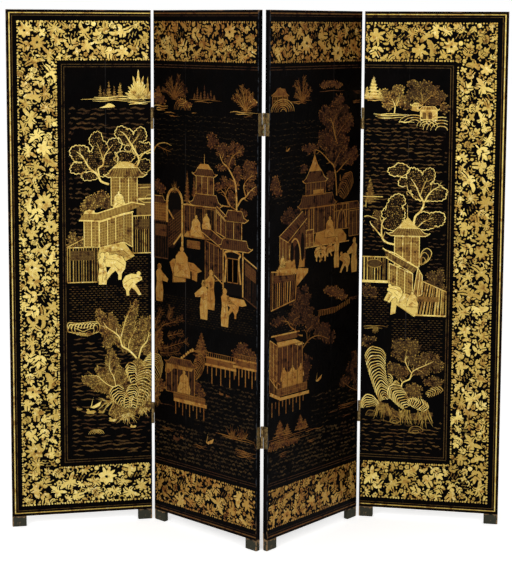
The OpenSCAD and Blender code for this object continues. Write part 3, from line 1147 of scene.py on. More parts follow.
BRIGHT, GOLD, MID, DIM, FAINT, INK = 0.95, 0.80, 0.55, 0.38, 0.24, 0.0
LINE = 2.8
HALO = 3.0
MOSS_PITCH = 4.5
CRAG_LEGS = 1.35


def smooth(points, steps=4):
    """A soft curve through the given points."""

    def curve(p, q, r, s, t):
        bend, twist = 2 * p - 5 * q + 4 * r - s, 3 * q - p - 3 * r + s
        return 0.5 * (2 * q + (r - p) * t + bend * t**2 + twist * t**3)

    ends = [points[0]] + list(points) + [points[-1]]
    made = []
    for four in zip(ends, ends[1:], ends[2:], ends[3:]):
        for i in range(steps):
            made.append(tuple(curve(*numbers, i / steps) for numbers in zip(*four)))
    return made + [tuple(points[-1])]


def arc(x, z, across, up, start, end, steps):
    """Points of an arc by its middle, its reaches and its angles in degrees."""
    made = []
    for i in range(steps + 1):
        angle = math.radians(start + (end - start) * i / steps)
        made.append((x + across * math.cos(angle), z + up * math.sin(angle)))
    return made


def between(a, b, t):
    return (a[0] + (b[0] - a[0]) * t, a[1] + (b[1] - a[1]) * t)


def box(x0, x1, z0, z1):
    """Corners of an upright rectangle, anticlockwise from the lower left."""
    return ((x0, z0), (x1, z0), (x1, z1), (x0, z1))


def oval(x, z, across, up, steps):
    return arc(x, z, across, up, 0, 360, steps)[:-1]


def in_quad(quad, s, t):
    """A point of a four-cornered field: corners run anticlockwise from the lower left."""
    return between(between(quad[0], quad[1], s), between(quad[3], quad[2], s), t)


def upright(quad, s):
    """The line from the foot to the top of a four-cornered field, at a share s of the way across."""
    return in_quad(quad, s, 0), in_quad(quad, s, 1)


def rails(quad, width, tone):
    """Lines along the foot and the top of a four-cornered field."""
    stroke(quad[:2], width, tone, 2)
    stroke(quad[2:], width, tone, 2)


def bar(x0, z0, x1, z1, width, tone, over=1, taper=(1.0, 1.0)):
    """A straight stroke."""
    stroke(((x0, z0), (x1, z1)), width, tone, over, taper)


def branch(points, width, tone, twigs=0):
    """A limb that thins to its tip, with fine twigs to both sides of its outer part."""
    line = smooth(points)
    stroke(line, width, tone, 3, (1.0, 0.3))
    chance = random.Random(int(points[0][0] + points[-1][1]))
    for i in range(twigs):
        t = 0.3 + 0.65 * (i + 0.5) / twigs
        k = int(t * (len(line) - 1))
        way = math.atan2(line[k + 1][1] - line[k][1], line[k + 1][0] - line[k][0])
        turn = way + (1 if i % 2 else -1) * chance.uniform(0.5, 0.9)
        bend = [(0, 0), (chance.uniform(8, 12), chance.uniform(-2, 2)), (chance.uniform(18, 28), 0)]
        stroke(turned_points(bend, turn, line[k]), width * 0.45, tone * 0.85, 2, (1.0, 0.4))


def in_cloud(at, cloud, grow=1.0):
    """Whether a point lies in an oval cloud (x, z, across, up) made larger by grow."""
    x, z, across, up = cloud
    return ((at[0] - x) / across) ** 2 + ((at[1] - z) / up) ** 2 < grow**2


def crown_edge(clouds, i, tone, rim, chance):
    """The part of one cloud's edge that shows: a bright scalloped line, or a row of pale beads."""
    x, z, across, up = clouds[i]
    others = clouds[:i] + clouds[i + 1 :]
    steps = max(12, int(math.pi * (across + up) / 4))
    phase = chance.uniform(0, math.tau) if rim else 0.0
    lobe = (3.0 if rim else 1.5) / min(across, up)
    run = []
    for k in range(steps + 1):
        angle = math.tau * k / steps
        swell = 1 + (0.09 * (1 + math.sin(3 * angle + phase)) if rim else 0.0)
        swell += lobe * (abs(math.sin(k * math.pi / 3)) + chance.uniform(-0.3, 0.3))
        at = (x + across * swell * math.cos(angle), z + up * swell * math.sin(angle))
        if not any(in_cloud(at, other, 0.97) for other in others):
            run.append(at)
            if k < steps:
                continue
        if rim and len(run) > 2:
            stroke(run, chance.uniform(2.2, 3.3), rim, 2)
        elif not rim:
            for bead in run[1::2]:
                if chance.random() < 0.62:
                    dab(bead, chance.uniform(1.8, 3.3), tone + chance.uniform(-0.05, 0.26), chance, 2)
        run = []


def ragged(clouds, chance):
    """Breaks each cloud into a core and smaller clumps round it."""
    made = []
    for x, z, across, up in clouds:
        small = min(across, up)
        if small < 13:
            made.append((x, z, across, up))
            continue
        made.append((x, z, across * 0.84, up * 0.84))
        count = 5 + int((across + up) / 22)
        start = chance.uniform(0, 1)
        for i in range(count):
            angle = math.tau * (i + start + chance.uniform(-0.25, 0.25)) / count
            out = chance.uniform(0.68, 0.92)
            size = small * chance.uniform(0.24, 0.4)
            at = (x + across * out * math.cos(angle), z + up * out * math.sin(angle))
            made.append((*at, size * 1.15, size))
    return made


def crown(clouds, tone, rim=0.0, step=5.8):
    """A tree crown of overlapping clouds (x, z, across, up): bed, stipple, scalloped or beaded edge."""
    chance = random.Random(int(sum(x + 3 * z for x, z, _, _ in clouds)))
    clouds = list(clouds) if rim else ragged(clouds, chance)
    pitch, least, most = (7.0, 1.6, 2.8) if rim else (step, 1.4, 3.0)
    for i, cloud in enumerate(clouds):
        x, z, across, up = cloud
        ring = []
        for px, pz in oval(x, z, across, up, 14 if across > 16 else 9):
            ring.append(between((x, z), (px, pz), chance.uniform(0.84, 1.04)))
        fill(ring, 0.05 if rim else tone * 0.48, 0.1 * (i % 5))
        for row in range(int(2 * up / pitch) + 1):
            for k in range(int(2 * across / pitch) + 1):
                at = (x - across + (k + 0.5 * (row % 2)) * pitch, z - up + row * pitch)
                at = (at[0] + chance.uniform(-1.6, 1.6), at[1] + chance.uniform(-1.6, 1.6))
                hidden = any(in_cloud(at, other) for other in clouds[:i])
                if in_cloud(at, cloud, 0.94) and not hidden and chance.random() > 0.12:
                    dab(at, chance.uniform(least, most), tone + chance.uniform(-0.16, 0.18), chance)
        crown_edge(clouds, i, tone, rim, chance)


def plume(points, reach, tone):
    """A feathery bough: fine slanting strokes to both sides of a thin limb."""
    chance = random.Random(int(points[0][0] + points[-1][1]))
    line = smooth(points, 5)
    stroke(line, 2.8, tone + 0.2, 3, (1.0, 0.4))
    for near, far in zip(line, line[1:]):
        way = math.atan2(far[1] - near[1], far[0] - near[0])
        for side in (-1, 1) * 3:
            foot = between(near, far, chance.random())
            off = side * reach * chance.uniform(0.0, 0.4)
            foot = (foot[0] - math.sin(way) * off, foot[1] + math.cos(way) * off)
            turn = way + side * chance.uniform(0.3, 1.0)
            end = turned_points([(reach * chance.uniform(0.35, 0.8), 0)], turn, foot)[0]
            stroke([foot, end], chance.uniform(1.3, 2.4), tone + chance.uniform(-0.14, 0.2), 2, (1.0, 0.3))


def plumes(foot, tips, reach, tone):
    """Feathery boughs that rise from one foot, each bowed a little upward."""
    for tip in tips:
        middle = between(foot, tip, 0.5)
        plume([foot, (middle[0], middle[1] + 0.1 * math.dist(foot, tip)), tip], reach, tone)


def body_half(t, width):
    """Half the width of a full leaf shape at a share t of its length."""
    return width / 2 * math.sin(math.pi * t**0.8) ** 0.6


def mass_outline(length, width, lobes, chance):
    """Lobed outline of a foliage mass lying along +x."""
    sides = []
    for side, shift in ((1, 0.0), (-1, 0.5)):
        points = []
        for i in range(1, lobes * 7):
            t = i / (lobes * 7)
            wave = 1 - abs(2 * ((lobes * t * 0.8 + shift) % 1.0) - 1)
            half = body_half(t, width) * (1 - 0.34 + 0.34 * wave * 1.1) * chance.uniform(0.94, 1.06)
            points.append((length * t + 0.05 * length / lobes * wave, side * half))
        sides.append(points)
    return [(0.0, 0.0)] + sides[1] + [(length, 0.0)] + sides[0][::-1]


def foliage(base, tip, width, lobes, tone):
    """A mass of foliage: dark bed, stippled face and a loose edge."""
    length = math.dist(base, tip)
    angle = math.atan2(tip[1] - base[1], tip[0] - base[0])
    chance = random.Random(int(base[0] * 3 + tip[1] * 5 + width))
    outline = mass_outline(length, width, lobes, chance)
    fill(turned_points([(x * 0.97 + 1.0, z * 0.90) for x, z in outline], angle, base), tone * 0.5)
    step = 5.6
    for i in range(int(length / step)):
        t = (i + 0.7) * step / length
        rows = int(2 * body_half(min(t, 0.97), width) * 0.93 / step) + 1
        for k in range(rows):
            if chance.random() < 0.06:
                continue
            side = (k - (rows - 1) / 2 + 0.5 * (i % 2)) * step + chance.uniform(-1.2, 1.2)
            at = turned_points([(length * t + chance.uniform(-1.2, 1.2), side)], angle, base)[0]
            dab(at, chance.uniform(1.5, 3.2), tone + chance.uniform(-0.14, 0.2), chance)
    for x, z in outline[::2]:
        at = turned_points([(x + chance.uniform(-2, 2), z * 1.02 + chance.uniform(-2, 2))], angle, base)[0]
        dab(at, chance.uniform(1.6, 3.2), tone + chance.uniform(0.0, 0.25), chance)


def fronds(x, z, height, width, tone, count, low=8, high=172):
    """A tree as a fan of toothed fronds."""
    fill(oval(x, z + height * 0.16, width * 0.3, height * 0.2, 9), tone * 0.6)
    for i in range(count):
        angle = math.radians(low + (high - low) * i / (count - 1))
        reach = 1.15 / (abs(math.cos(angle)) / (width / 2) + abs(math.sin(angle)) / height)
        reach *= 1 + 0.16 * (i % 2)
        blade = turned_points(leaf_shape(reach, width * 0.21, 4), angle, (x, z))
        fill(blade, tone - 0.1 * (i % 2), 1 + i % 2)
        stroke([(x, z), between((x, z), blade[len(blade) // 2], 0.8)], 1.1, max(0.0, tone - 0.35), 3)


def conifer(x, z, height, width, tone, tiers=5):
    """A tapering tree of drooping tiers."""
    left, right = [], []
    for i in range(tiers):
        up = z + height * (1 - (i + 1) / (tiers + 0.4))
        reach = width / 2 * (i + 1) / tiers
        right += [(x + reach * 0.7, up), (x + reach * 0.36, up + height * 0.05)]
        left += [(x - reach * 0.7, up), (x - reach * 0.36, up + height * 0.05)]
        for side in (-1, 1):
            tip = (x + side * reach, up + height * 0.04)
            line = (x, up + height * 0.03), between((x, up), tip, 0.6), tip
            stroke(line, 3.2, tone + 0.1, 1, (1.0, 0.4))
    outline = [(x, z + height)] + left + [(x - width * 0.1, z), (x + width * 0.1, z)] + right[::-1]
    fill(outline, tone * 0.8)
    chance = random.Random(int(x + height))
    for i in range(int(height * width / 45)):
        t = chance.uniform(0.05, 0.9)
        at = (x + chance.uniform(-0.5, 0.5) * width * (1 - t), z + height * t)
        dab(at, chance.uniform(1.2, 2.4), tone + chance.uniform(-0.15, 0.2), chance)


def tuft(x, z, reach, count, low, high, tone, width=2.2):
    """Grass or root lines springing from one place."""
    chance = random.Random(int(x + z))
    for i in range(count):
        angle = math.radians(low + (high - low) * (i + chance.random()) / count)
        length = reach * chance.uniform(0.6, 1.1)
        foot = (x + chance.uniform(-0.35, 0.35) * reach, z + chance.uniform(-0.1, 0.1) * reach)
        end = (foot[0] + length * math.cos(angle), foot[1] + length * math.sin(angle))
        blade_line = foot, between(foot, end, 0.5), end
        stroke(blade_line, width, tone + chance.uniform(-0.12, 0.1), 3, (1.0, 0.2))


def moss(outline, tone):
    """Ground covered with short strokes."""
    fill(outline, tone * 0.5)
    chance = random.Random(int(outline[0][0] + 2 * outline[0][1]))
    xs = [p[0] for p in outline]
    zs = [p[1] for p in outline]
    for _ in range(int((max(xs) - min(xs)) * (max(zs) - min(zs)) / MOSS_PITCH**2)):
        at = (chance.uniform(min(xs), max(xs)), chance.uniform(min(zs), max(zs)))
        if covered_by(outline, *at):
            dab(at, chance.uniform(1.3, 2.9), tone + chance.uniform(-0.2, 0.15), chance)


def roof(x0, x1, z, rise, inset, tone, edge, flare, tiles):
    """A tiled roof with turned-up eaves."""
    tips = (x0 - flare, z + flare * 0.75), (x1 + flare, z + flare * 0.75)
    ridge = (x0 + inset, z + rise), (x1 - inset, z + rise)
    waist = (x0 + inset * 0.35, z + rise * 0.42), (x1 - inset * 0.35, z + rise * 0.42)
    fill([tips[0], (x0 + 3, z), (x1 - 3, z), tips[1], waist[1], ridge[1], ridge[0], waist[0]], tone * 0.75)
    for i in range(1, tiles):
        t = i / tiles
        stroke([between(ridge[0], ridge[1], t), between((x0, z), (x1, z), t)], 1.5, tone + 0.1, 1)
    stroke([tips[0], (x0 + 3, z), (x1 - 3, z), tips[1]], LINE, edge, 2)
    stroke([tips[0], waist[0], ridge[0], ridge[1], waist[1], tips[1]], LINE * 0.8, edge, 2)
    for tip, way in zip(tips, (-1, 1)):
        stroke([tip, (tip[0] + way * 3, tip[1] + 4)], 3.4, edge, 2)


def sloped(quad, tone, edge, tiles):
    """A roof or wall seen at a slant, with bright long edges."""
    fill(quad, tone * 0.75)
    for i in range(1, tiles):
        stroke(upright(quad, i / tiles), 1.4, tone + 0.1)
    rails(quad, LINE, edge)


def lattice(quad, columns, rows, tone, width=1.3, over=1):
    """Crossing bars over a four-cornered field."""
    for i in range(columns + 1):
        stroke(upright(quad, i / columns), width, tone, over)
    for i in range(rows + 1):
        stroke((in_quad(quad, 0, i / rows), in_quad(quad, 1, i / rows)), width, tone, over)


def wall(quad, bays, tone, edge, mesh, post=LINE):
    """Latticed screens between posts."""
    fill(quad, tone * (0.5 + 0.62 * tone))
    lattice(quad, bays * mesh[0], mesh[1], min(1.0, tone + 0.14))
    for i in range(bays + 1):
        stroke(upright(quad, i / bays), post, edge, 2)
    rails(quad, LINE, edge)


def fence(quad, pickets, tone, width, board=0.0):
    """Upright pickets, no two alike, between two rails, with a dark board let in near the top."""
    fill(quad, INK)
    chance = random.Random(int(quad[0][0]))
    for i in range(pickets + 1):
        s = min(max((i + chance.uniform(-0.22, 0.22)) / pickets, 0.0), 1.0)
        stroke(upright(quad, s), width * chance.uniform(0.65, 1.4), tone * chance.uniform(0.5, 1.0))
    rails(quad, LINE * 1.3, tone)
    if board:
        field = [in_quad(quad, s, t) for s, t in box(0.12, 0.88, 0.9 - board, 0.9)]
        fill(field, FAINT, 2)
        lattice(field, 6, 3, DIM, 1.2, 3)


def stilts(x0, x1, count, top, foot, lift, tone):
    """Posts that stand in the water, every second one ending higher by lift."""
    for i in range(count):
        x = x0 + (x1 - x0) * i / (count - 1)
        bar(x, top, x, foot + lift * (i % 2), 4, tone)


def shore(x0, x1, z, rows, tone, width=4.0):
    """Long low land lines, each row shorter than the last."""
    chance = random.Random(int(x0 + z))
    for row in range(rows):
        a = x0 + (x1 - x0) * chance.uniform(0, 0.22) * (row > 0)
        b = x1 - (x1 - x0) * chance.uniform(0, 0.3) * (row > 0)
        line = [(a + (b - a) * i / 5, z - row * 6.5 + chance.uniform(-2.2, 2.2)) for i in range(6)]
        stroke(smooth(line, 3), width, tone, 1, (0.3, 0.2))


def rock(outline, focus, rings, tone, width=3.0):
    """A garden rock drawn as nested wandering contour lines that close in on a focus."""
    outline = smooth(list(outline) + [outline[0]], 4)
    chance = random.Random(int(focus[0] + focus[1]))
    waves = [(chance.uniform(0.25, 0.75), chance.uniform(0, 6)) for _ in range(3)]
    fill(outline[:-1], 0.05)
    for ring in range(rings):
        size = 1 - 0.94 * ring / rings
        line = []
        for i, (x, z) in enumerate(outline):
            push = 2.4 * sum(math.sin(k * i + phase + ring * 0.35) for k, phase in waves) * (ring > 0)
            reach = max(math.dist((x, z), focus), 1.0)
            share = size + push / reach * min(1.0, reach * size / 12)
            line.append((focus[0] + (x - focus[0]) * share, focus[1] + (z - focus[1]) * share))
        line[-1] = line[0]
        stroke(line, width * (0.7 + 0.3 * size), tone - 0.12 * (ring % 2), 0.5)


def crag(spine, tone, gap=9.5, width=2.8, over=0.0):
    """A contour-lined rock: hairpin lines over a spine of (x, z, half width), nested from the apex down."""
    chance = random.Random(int(spine[0][0] + spine[-1][1]))
    line = smooth(spine, 6)
    run = [0.0]
    for near, far in zip(line, line[1:]):
        run.append(run[-1] + math.dist(near[:2], far[:2]))
    drift, sway = chance.uniform(0, 6), chance.uniform(0, 6)

    def place(along, side):
        k = max(i for i in range(len(run) - 1) if run[i] <= along)
        t = (along - run[k]) / (run[k + 1] - run[k])
        way = math.atan2(line[k + 1][1] - line[k][1], line[k + 1][0] - line[k][0])
        half = line[k][2] + (line[k + 1][2] - line[k][2]) * t
        off = side * half + (1 - side * side) * 2.2 * math.sin(along / 8 + 2 * side + sway)
        return turned_points([(0, off)], way, between(line[k], line[k + 1], t))[0]

    def hairpin(start):
        reach = CRAG_LEGS * line[0][2] * 0.5 + CRAG_LEGS * line[-1][2] * 0.5
        points = []
        for k in range(-10, 11):
            side = math.sin(math.pi * k / 20)
            turn = 1 - math.sqrt(1 - 0.99 * side * side)
            along = start + reach * (0.45 * turn + 0.55 * abs(side) ** 2.2)
            along += 2.6 * math.sin(5 * side + drift + start / 40) * (1 - side * side)
            if 0 <= along < run[-1]:
                points.append(place(along, side))
        return points

    first = hairpin(0.0)
    rim = [place(run[-1] - 0.01, side) for side in (1, 0.5, 0, -0.5, -1)]
    fill(first + rim, 0.03, over)
    start, count = 0.0, 0
    while start < run[-1]:
        points = hairpin(start)
        if len(points) > 2:
            heavy = width * (1.0 if count % 3 else 1.25)
            stroke(points, heavy, tone - chance.uniform(0.0, 0.16), over + 0.5, (0.5, 0.5))
        start += gap * chance.uniform(0.75, 1.3)
        count += 1


def mound(x, z, across, up, tone, rings, width, limit=FULL_W):
    """A low hill drawn as nested arches that stand on one line and end at an upright limit."""
    chance = random.Random(int(x + z))
    fill([(min(px, limit), pz) for px, pz in arc(x, z, across, up, 0, 180, 12)], 0.03)
    for ring in range(rings):
        size = 1 - ring / (rings + 0.4)
        centre = x + chance.uniform(-0.12, 0.12) * across * ring / rings
        line = arc(centre, z, across * size, up * size, 0, 180, 14)
        line = [(px, pz + chance.uniform(-0.7, 0.7)) for px, pz in line if px < limit]
        stroke(line, width, tone - chance.uniform(0.0, 0.15), 0.5, (0.6, 0.5))


ROBE = (
    (-0.12, 0), (0.12, 0), (0.15, 0.3), (0.10, 0.6), (0.13, 0.79), (0.05, 0.87), (-0.06, 0.87),
    (-0.13, 0.79), (-0.10, 0.55), (-0.14, 0.28),
)
SLEEVE = ((0.08, 0.80), (0.15, 0.78), (0.34, 0.64), (0.31, 0.55), (0.12, 0.57))
BENT = (
    (-0.18, 0.0), (-0.08, 0.0), (-0.09, 0.16), (0.0, 0.30), (0.14, 0.18), (0.27, 0.0), (0.37, 0.02),
    (0.27, 0.22), (0.14, 0.42), (0.24, 0.50), (0.40, 0.58), (0.38, 0.68), (0.22, 0.78), (0.0, 0.82),
    (-0.22, 0.74), (-0.33, 0.54), (-0.30, 0.34), (-0.20, 0.20),
)
SEATED = (
    (-0.32, 0), (0.34, 0), (0.33, 0.22), (0.24, 0.42), (0.23, 0.60), (0.10, 0.74), (-0.12, 0.74),
    (-0.25, 0.60), (-0.26, 0.4), (-0.35, 0.2),
)
FOLDS = {
    ROBE: (((-0.02, 0.06), (0.03, 0.45), (0.01, 0.72)), ((0.10, 0.57), (0.02, 0.5), (-0.12, 0.56))),
    BENT: (((-0.28, 0.45), (-0.05, 0.62), (0.28, 0.68)), ((-0.1, 0.32), (0.06, 0.5))),
    SEATED: (((-0.2, 0.1), (0.0, 0.25), (0.2, 0.1)), ((-0.1, 0.4), (0.1, 0.42))),
}


def figure(x, z, height, body, face=1, tone=BRIGHT):
    """A small plain robed figure without features, ringed in black so that it reads off its neighbours."""

    def place(points):
        return [(x + face * height * px, z + height * pz) for px, pz in points]

    stroke(place(body + body[:1]), HALO, INK, 0)
    fill(place(body), tone, 1)
    top = max(p[1] for p in body)
    ahead, rise = (0.27, -0.01) if body is BENT else (0.0, 0.07)
    head = arc(ahead, top + rise, 0.08, 0.09, 0, 360, 7)
    stroke(place(head), HALO, INK, 0)
    fill(place(head[:-1]), tone, 2)
    if body is ROBE:
        fill(place(SLEEVE), tone, 2)
    for fold in FOLDS[body]:
        stroke(place(fold), 1.6, tone * 0.5, 3)


def winged(x, z, size, tone):
    """A small bird or moth."""
    high = (0, 0), (0.25, 0.9), (0.1, 0.1)
    fill([(x + size * px, z + size * pz) for px, pz in high], tone, 1)
    low = (0, 0), (1, 0.55), (0.8, 0.1), (0.3, -0.1)
    fill([(x + size * px, z + size * pz) for px, pz in low], tone, 1)


def duck(x, z, size, tone):
    """A small water bird that looks to the left."""
    body = [
        (0, 0), (0.7, -0.05), (1.0, 0.2), (0.75, 0.35), (0.3, 0.3), (0.15, 0.55), (-0.1, 0.5),
        (0.02, 0.3), (-0.15, 0.15),
    ]
    fill([(x + size * px, z + size * pz) for px, pz in body], tone, 1)


# ---------------------------------------------------------------- the landscape: composition


def far_shore_1():
    """Small trees, fronds, a boat and low land, far off on the first leaf."""
    pen.layer = 1
    row = (322, 44, 13, 0.36), (336, 36, 12, 0.3), (352, 58, 20, 0.5), (371, 40, 14, 0.4)
    for x, h, w, tone in (*row, (391, 52, 24, 0.55)):
        conifer(x, 1488, h, w, tone)
    fronds(455, 1484, 88, 84, BRIGHT, 13)
    fronds(488, 1484, 56, 44, GOLD, 7, 20, 160)
    shore(300, 510, 1488, 2, BRIGHT)
    shore(255, 500, 1482, 2, GOLD, 3.2)
    shore(418, 500, 1470, 2, BRIGHT, 4.4)
    boat = (318, 1450), (340, 1451), (372, 1453), (366, 1462), (350, 1466), (338, 1458), (318, 1450)
    fill(smooth(boat, 3)[:-1], BRIGHT)


def far_shore_2():
    """Far trees, plumes and low land of the second leaf."""
    pen.layer = 1
    conifer(527, 1490, 40, 34, 0.40, 6)
    crown(((525, 1506, 13, 17), (519, 1482, 26, 17), (542, 1478, 22, 15)), 0.36)
    tips = (564, 1540), (546, 1516), (586, 1556), (629, 1566), (650, 1540), (666, 1518), (658, 1500)
    plumes((606, 1486), tips, 15, 0.28)
    branch([(604, 1482), (606, 1512), (620, 1548)], 4, 0.5)
    crown(((640, 1476, 26, 11), (668, 1468, 26, 9)), 0.55, 0, 5.0)
    mound(644, 1448, 40, 36, MID, 5, 2.6)
    shore(500, 575, 1458, 3, GOLD, 4.4)
    shore(556, 610, 1436, 1, MID)
    shore(580, 622, 1426, 1, 0.5)
    shore(690, 714, 1441, 1, MID, 3)
    for x, h in ((704, 22), (718, 44), (734, 28), (752, 54), (768, 24), (782, 34), (798, 18)):
        conifer(x, 1488, h, 13, 0.27)
    shore(680, 832, 1486, 2, MID, 2.6)
    tips = (884, 1500), (902, 1516), (925, 1540), (948, 1528), (968, 1516), (990, 1486)
    plumes((945, 1454), tips, 15, 0.42)
    crown(((968, 1500, 13, 10), (982, 1484, 12, 9)), 0.6, 0, 5.0)
    shore(872, 1000, 1452, 2, GOLD, 3)
    shore(935, 975, 1438, 1, DIM, 2)


def far_shore_3():
    """A far hall, its hill, plumes and clouds on the third leaf."""
    pen.layer = 1
    fill([(1012, 1470), (1095, 1470), (1092, 1505), (1078, 1530), (1040, 1534), (1016, 1508)], 0.42)
    wall(box(1014, 1090, 1478, 1506), 3, 0.45, MID, (2, 2))
    stroke([(1008, 1508), (1052, 1534), (1098, 1506)], 3, MID, 2)
    mound(1066, 1454, 60, 42, GOLD, 6, 2.6)
    tips = (1126, 1544), (1142, 1556), (1180, 1568), (1196, 1540), (1214, 1524), (1206, 1504), (1130, 1508)
    plumes((1168, 1482), tips, 14, 0.32)
    shore(1100, 1218, 1486, 2, MID, 3)
    crown(((1292, 1538, 26, 12), (1330, 1541, 34, 12), (1364, 1534, 22, 10)), 0.34, 0, 5.0)
    shore(1262, 1400, 1516, 1, FAINT, 3)


def far_shore_4():
    """The far grove on the fourth leaf."""
    pen.layer = 1
    shore(1450, 1500, 1478, 2, DIM, 4)
    shore(1452, 1500, 1512, 2, FAINT, 3)
    row = (1534, 1484, 80, 52, BRIGHT), (1511, 1484, 44, 26, GOLD), (1556, 1485, 36, 26, GOLD)
    for x, z, h, w, tone in row:
        conifer(x, z, h, w, tone, 7)
    shore(1500, 1578, 1484, 2, GOLD)
    left = (
        (1575, 1498, 17, 17), (1618, 1510, 20, 24), (1588, 1474, 24, 26), (1628, 1482, 18, 22),
        (1602, 1494, 24, 22),
    )
    crown(left, 0.50, 0, 5.0)
    branch([(1608, 1434), (1610, 1458), (1600, 1484)], 4, BRIGHT, 4)
    branch([(1610, 1456), (1622, 1478), (1624, 1498)], 3, GOLD)
    right = (
        (1670, 1536, 15, 14), (1712, 1530, 26, 21), (1682, 1508, 25, 20), (1740, 1514, 26, 23),
        (1768, 1496, 20, 17), (1660, 1490, 22, 13), (1706, 1488, 34, 26), (1745, 1480, 28, 20),
        (1656, 1462, 30, 15), (1784, 1452, 15, 18),
    )
    crown(right, 0.33, 0, 5.4)
    branch([(1708, 1442), (1706, 1480), (1700, 1515)], 3.5, MID, 4)
    branch([(1708, 1468), (1734, 1494), (1752, 1502)], 3, MID, 4)
    branch([(1708, 1462), (1682, 1492)], 3, MID, 2)
    shore(1535, 1660, 1430, 3, BRIGHT, 3.4)


def far_village():
    """Huts and mounds across the water on the fourth leaf."""
    pen.layer = 2
    wall(box(1700, 1758, 1412, 1446), 1, GOLD, BRIGHT, (1, 1))
    for x in (1707, 1728):
        fill(box(x, x + 13, 1414, 1438), DIM, 2)
    roof(1696, 1760, 1444, 14, 9, GOLD, BRIGHT, 4, 6)
    fill([(1668, 1444), (1694, 1440), (1694, 1464), (1672, 1468)], 0.7)
    roof(1670, 1702, 1460, 10, 8, GOLD, BRIGHT, 3, 4)
    shore(1624, 1680, 1402, 1, BRIGHT, 4)
    mound(1676, 1400, 50, 28, BRIGHT, 3, 3.0)
    mound(1724, 1388, 36, 26, BRIGHT, 3, 3.0)
    mound(1776, 1376, 66, 46, BRIGHT, 4, 3.2, 1797)


def forked_tree():
    """The tall tree with round clouds on the first leaf."""
    pen.layer = 2
    west = (
        (248, 1292, 29, 26), (244, 1240, 25, 17), (284, 1212, 26, 13), (284, 1262, 26, 34),
        (307, 1338, 20, 25), (322, 1298, 27, 34), (371, 1318, 22, 24), (352, 1268, 25, 34),
        (324, 1240, 26, 26),
    )
    crown(west, 0.40, BRIGHT)
    branch(
        [(350, 1182), (323, 1193), (310, 1217), (284, 1238), (270, 1260), (256, 1284), (238, 1298)],
        7, BRIGHT, 5,
    )
    branch([(318, 1208), (313, 1237), (329, 1250), (334, 1276), (344, 1296), (366, 1322)], 5, BRIGHT, 4)
    branch([(330, 1262), (324, 1290), (308, 1330)], 3, GOLD, 4)
    east = (
        (396, 1364, 21, 18), (414, 1346, 24, 26), (461, 1355, 20, 22), (443, 1334, 14, 18),
        (459, 1308, 24, 20), (487, 1308, 13, 16),
    )
    crown(east, 0.40, BRIGHT)
    crown(((419, 1308, 10, 10),), 0.40, GOLD)
    crown(((408, 1278, 28, 18), (384, 1270, 12, 8)), 0.44, GOLD)
    crown(((471, 1246, 25, 20),), 0.44, GOLD)
    branch(
        [(446, 1240), (457, 1266), (447, 1290), (433, 1317), (422, 1334), (408, 1356), (390, 1369)],
        6, BRIGHT, 4,
    )
    branch([(457, 1266), (472, 1288), (497, 1302), (524, 1324), (560, 1330), (590, 1322)], 5, GOLD)
    branch([(430, 1320), (446, 1340), (460, 1360)], 3, GOLD, 2)
    branch([(520, 1318), (552, 1308), (588, 1300)], 2.4, MID, 4)


def spreading_tree():
    """The wide tree of the second leaf."""
    pen.layer = 2
    clouds = (
        (788, 1348, 22, 30), (834, 1318, 26, 24), (898, 1326, 42, 22), (872, 1284, 22, 20),
        (833, 1261, 24, 10), (908, 1246, 20, 28), (962, 1256, 32, 34), (968, 1194, 27, 28),
        (803, 1196, 32, 13), (842, 1212, 15, 23), (886, 1208, 32, 17), (880, 1160, 18, 28),
        (934, 1113, 17, 15),
    )
    crown(clouds, 0.32)
    branch(
        [(904, 1122), (904, 1160), (900, 1200), (892, 1226), (862, 1264), (838, 1280), (824, 1308)],
        7, GOLD, 5,
    )
    branch([(866, 1262), (880, 1296), (906, 1316), (926, 1320)], 3, 0.6, 5)
    branch([(908, 1136), (926, 1160), (946, 1170), (964, 1190), (990, 1208)], 5.5, GOLD, 3)
    branch([(946, 1172), (937, 1206), (954, 1230), (982, 1246)], 4, 0.7, 4)
    branch([(900, 1124), (874, 1136), (856, 1160), (846, 1176), (826, 1190)], 4.5, 0.7, 4)
    branch([(852, 1168), (864, 1192), (896, 1212)], 3, 0.6, 3)
    branch([(872, 1132), (836, 1132), (806, 1130)], 4, 0.66)
    crown(((1029, 1228, 15, 15), (1030, 1204, 27, 20), (1046, 1184, 17, 13)), 0.34)


def tower_tree():
    """The tallest tree, on the third leaf."""
    pen.layer = 2
    clouds = (
        (1290, 1436, 34, 30), (1368, 1474, 28, 28), (1334, 1436, 28, 26), (1412, 1402, 40, 32),
        (1350, 1396, 26, 30), (1290, 1344, 34, 27), (1212, 1324, 44, 17), (1330, 1318, 28, 34),
        (1398, 1336, 34, 24), (1424, 1280, 32, 26), (1180, 1258, 20, 14), (1462, 1292, 17, 28),
        (1325, 1206, 26, 34),
    )
    crown(((1368, 1424, 62, 56), (1338, 1352, 78, 46), (1384, 1290, 66, 36)), 0.15, 0, 7.0)
    crown(clouds, 0.27, 0, 6.2)
    branch(
        [
            (1363, 1150), (1361, 1178), (1355, 1224), (1344, 1256), (1318, 1274), (1298, 1290),
            (1264, 1312), (1236, 1318),
        ],
        6, 0.62, 4,
    )
    branch([(1346, 1258), (1373, 1294), (1408, 1324)], 3.4, 0.42, 4)
    branch([(1361, 1232), (1382, 1244), (1411, 1264), (1444, 1280)], 4, 0.55, 4)
    branch([(1382, 1200), (1382, 1222)], 4, 0.55)
    branch([(1364, 1332), (1348, 1366), (1338, 1398), (1322, 1424)], 5, 0.6, 4)
    branch([(1358, 1356), (1378, 1378), (1408, 1402), (1440, 1428)], 3, 0.42, 5)
    branch([(1340, 1398), (1348, 1420), (1362, 1442)], 3, 0.42, 3)


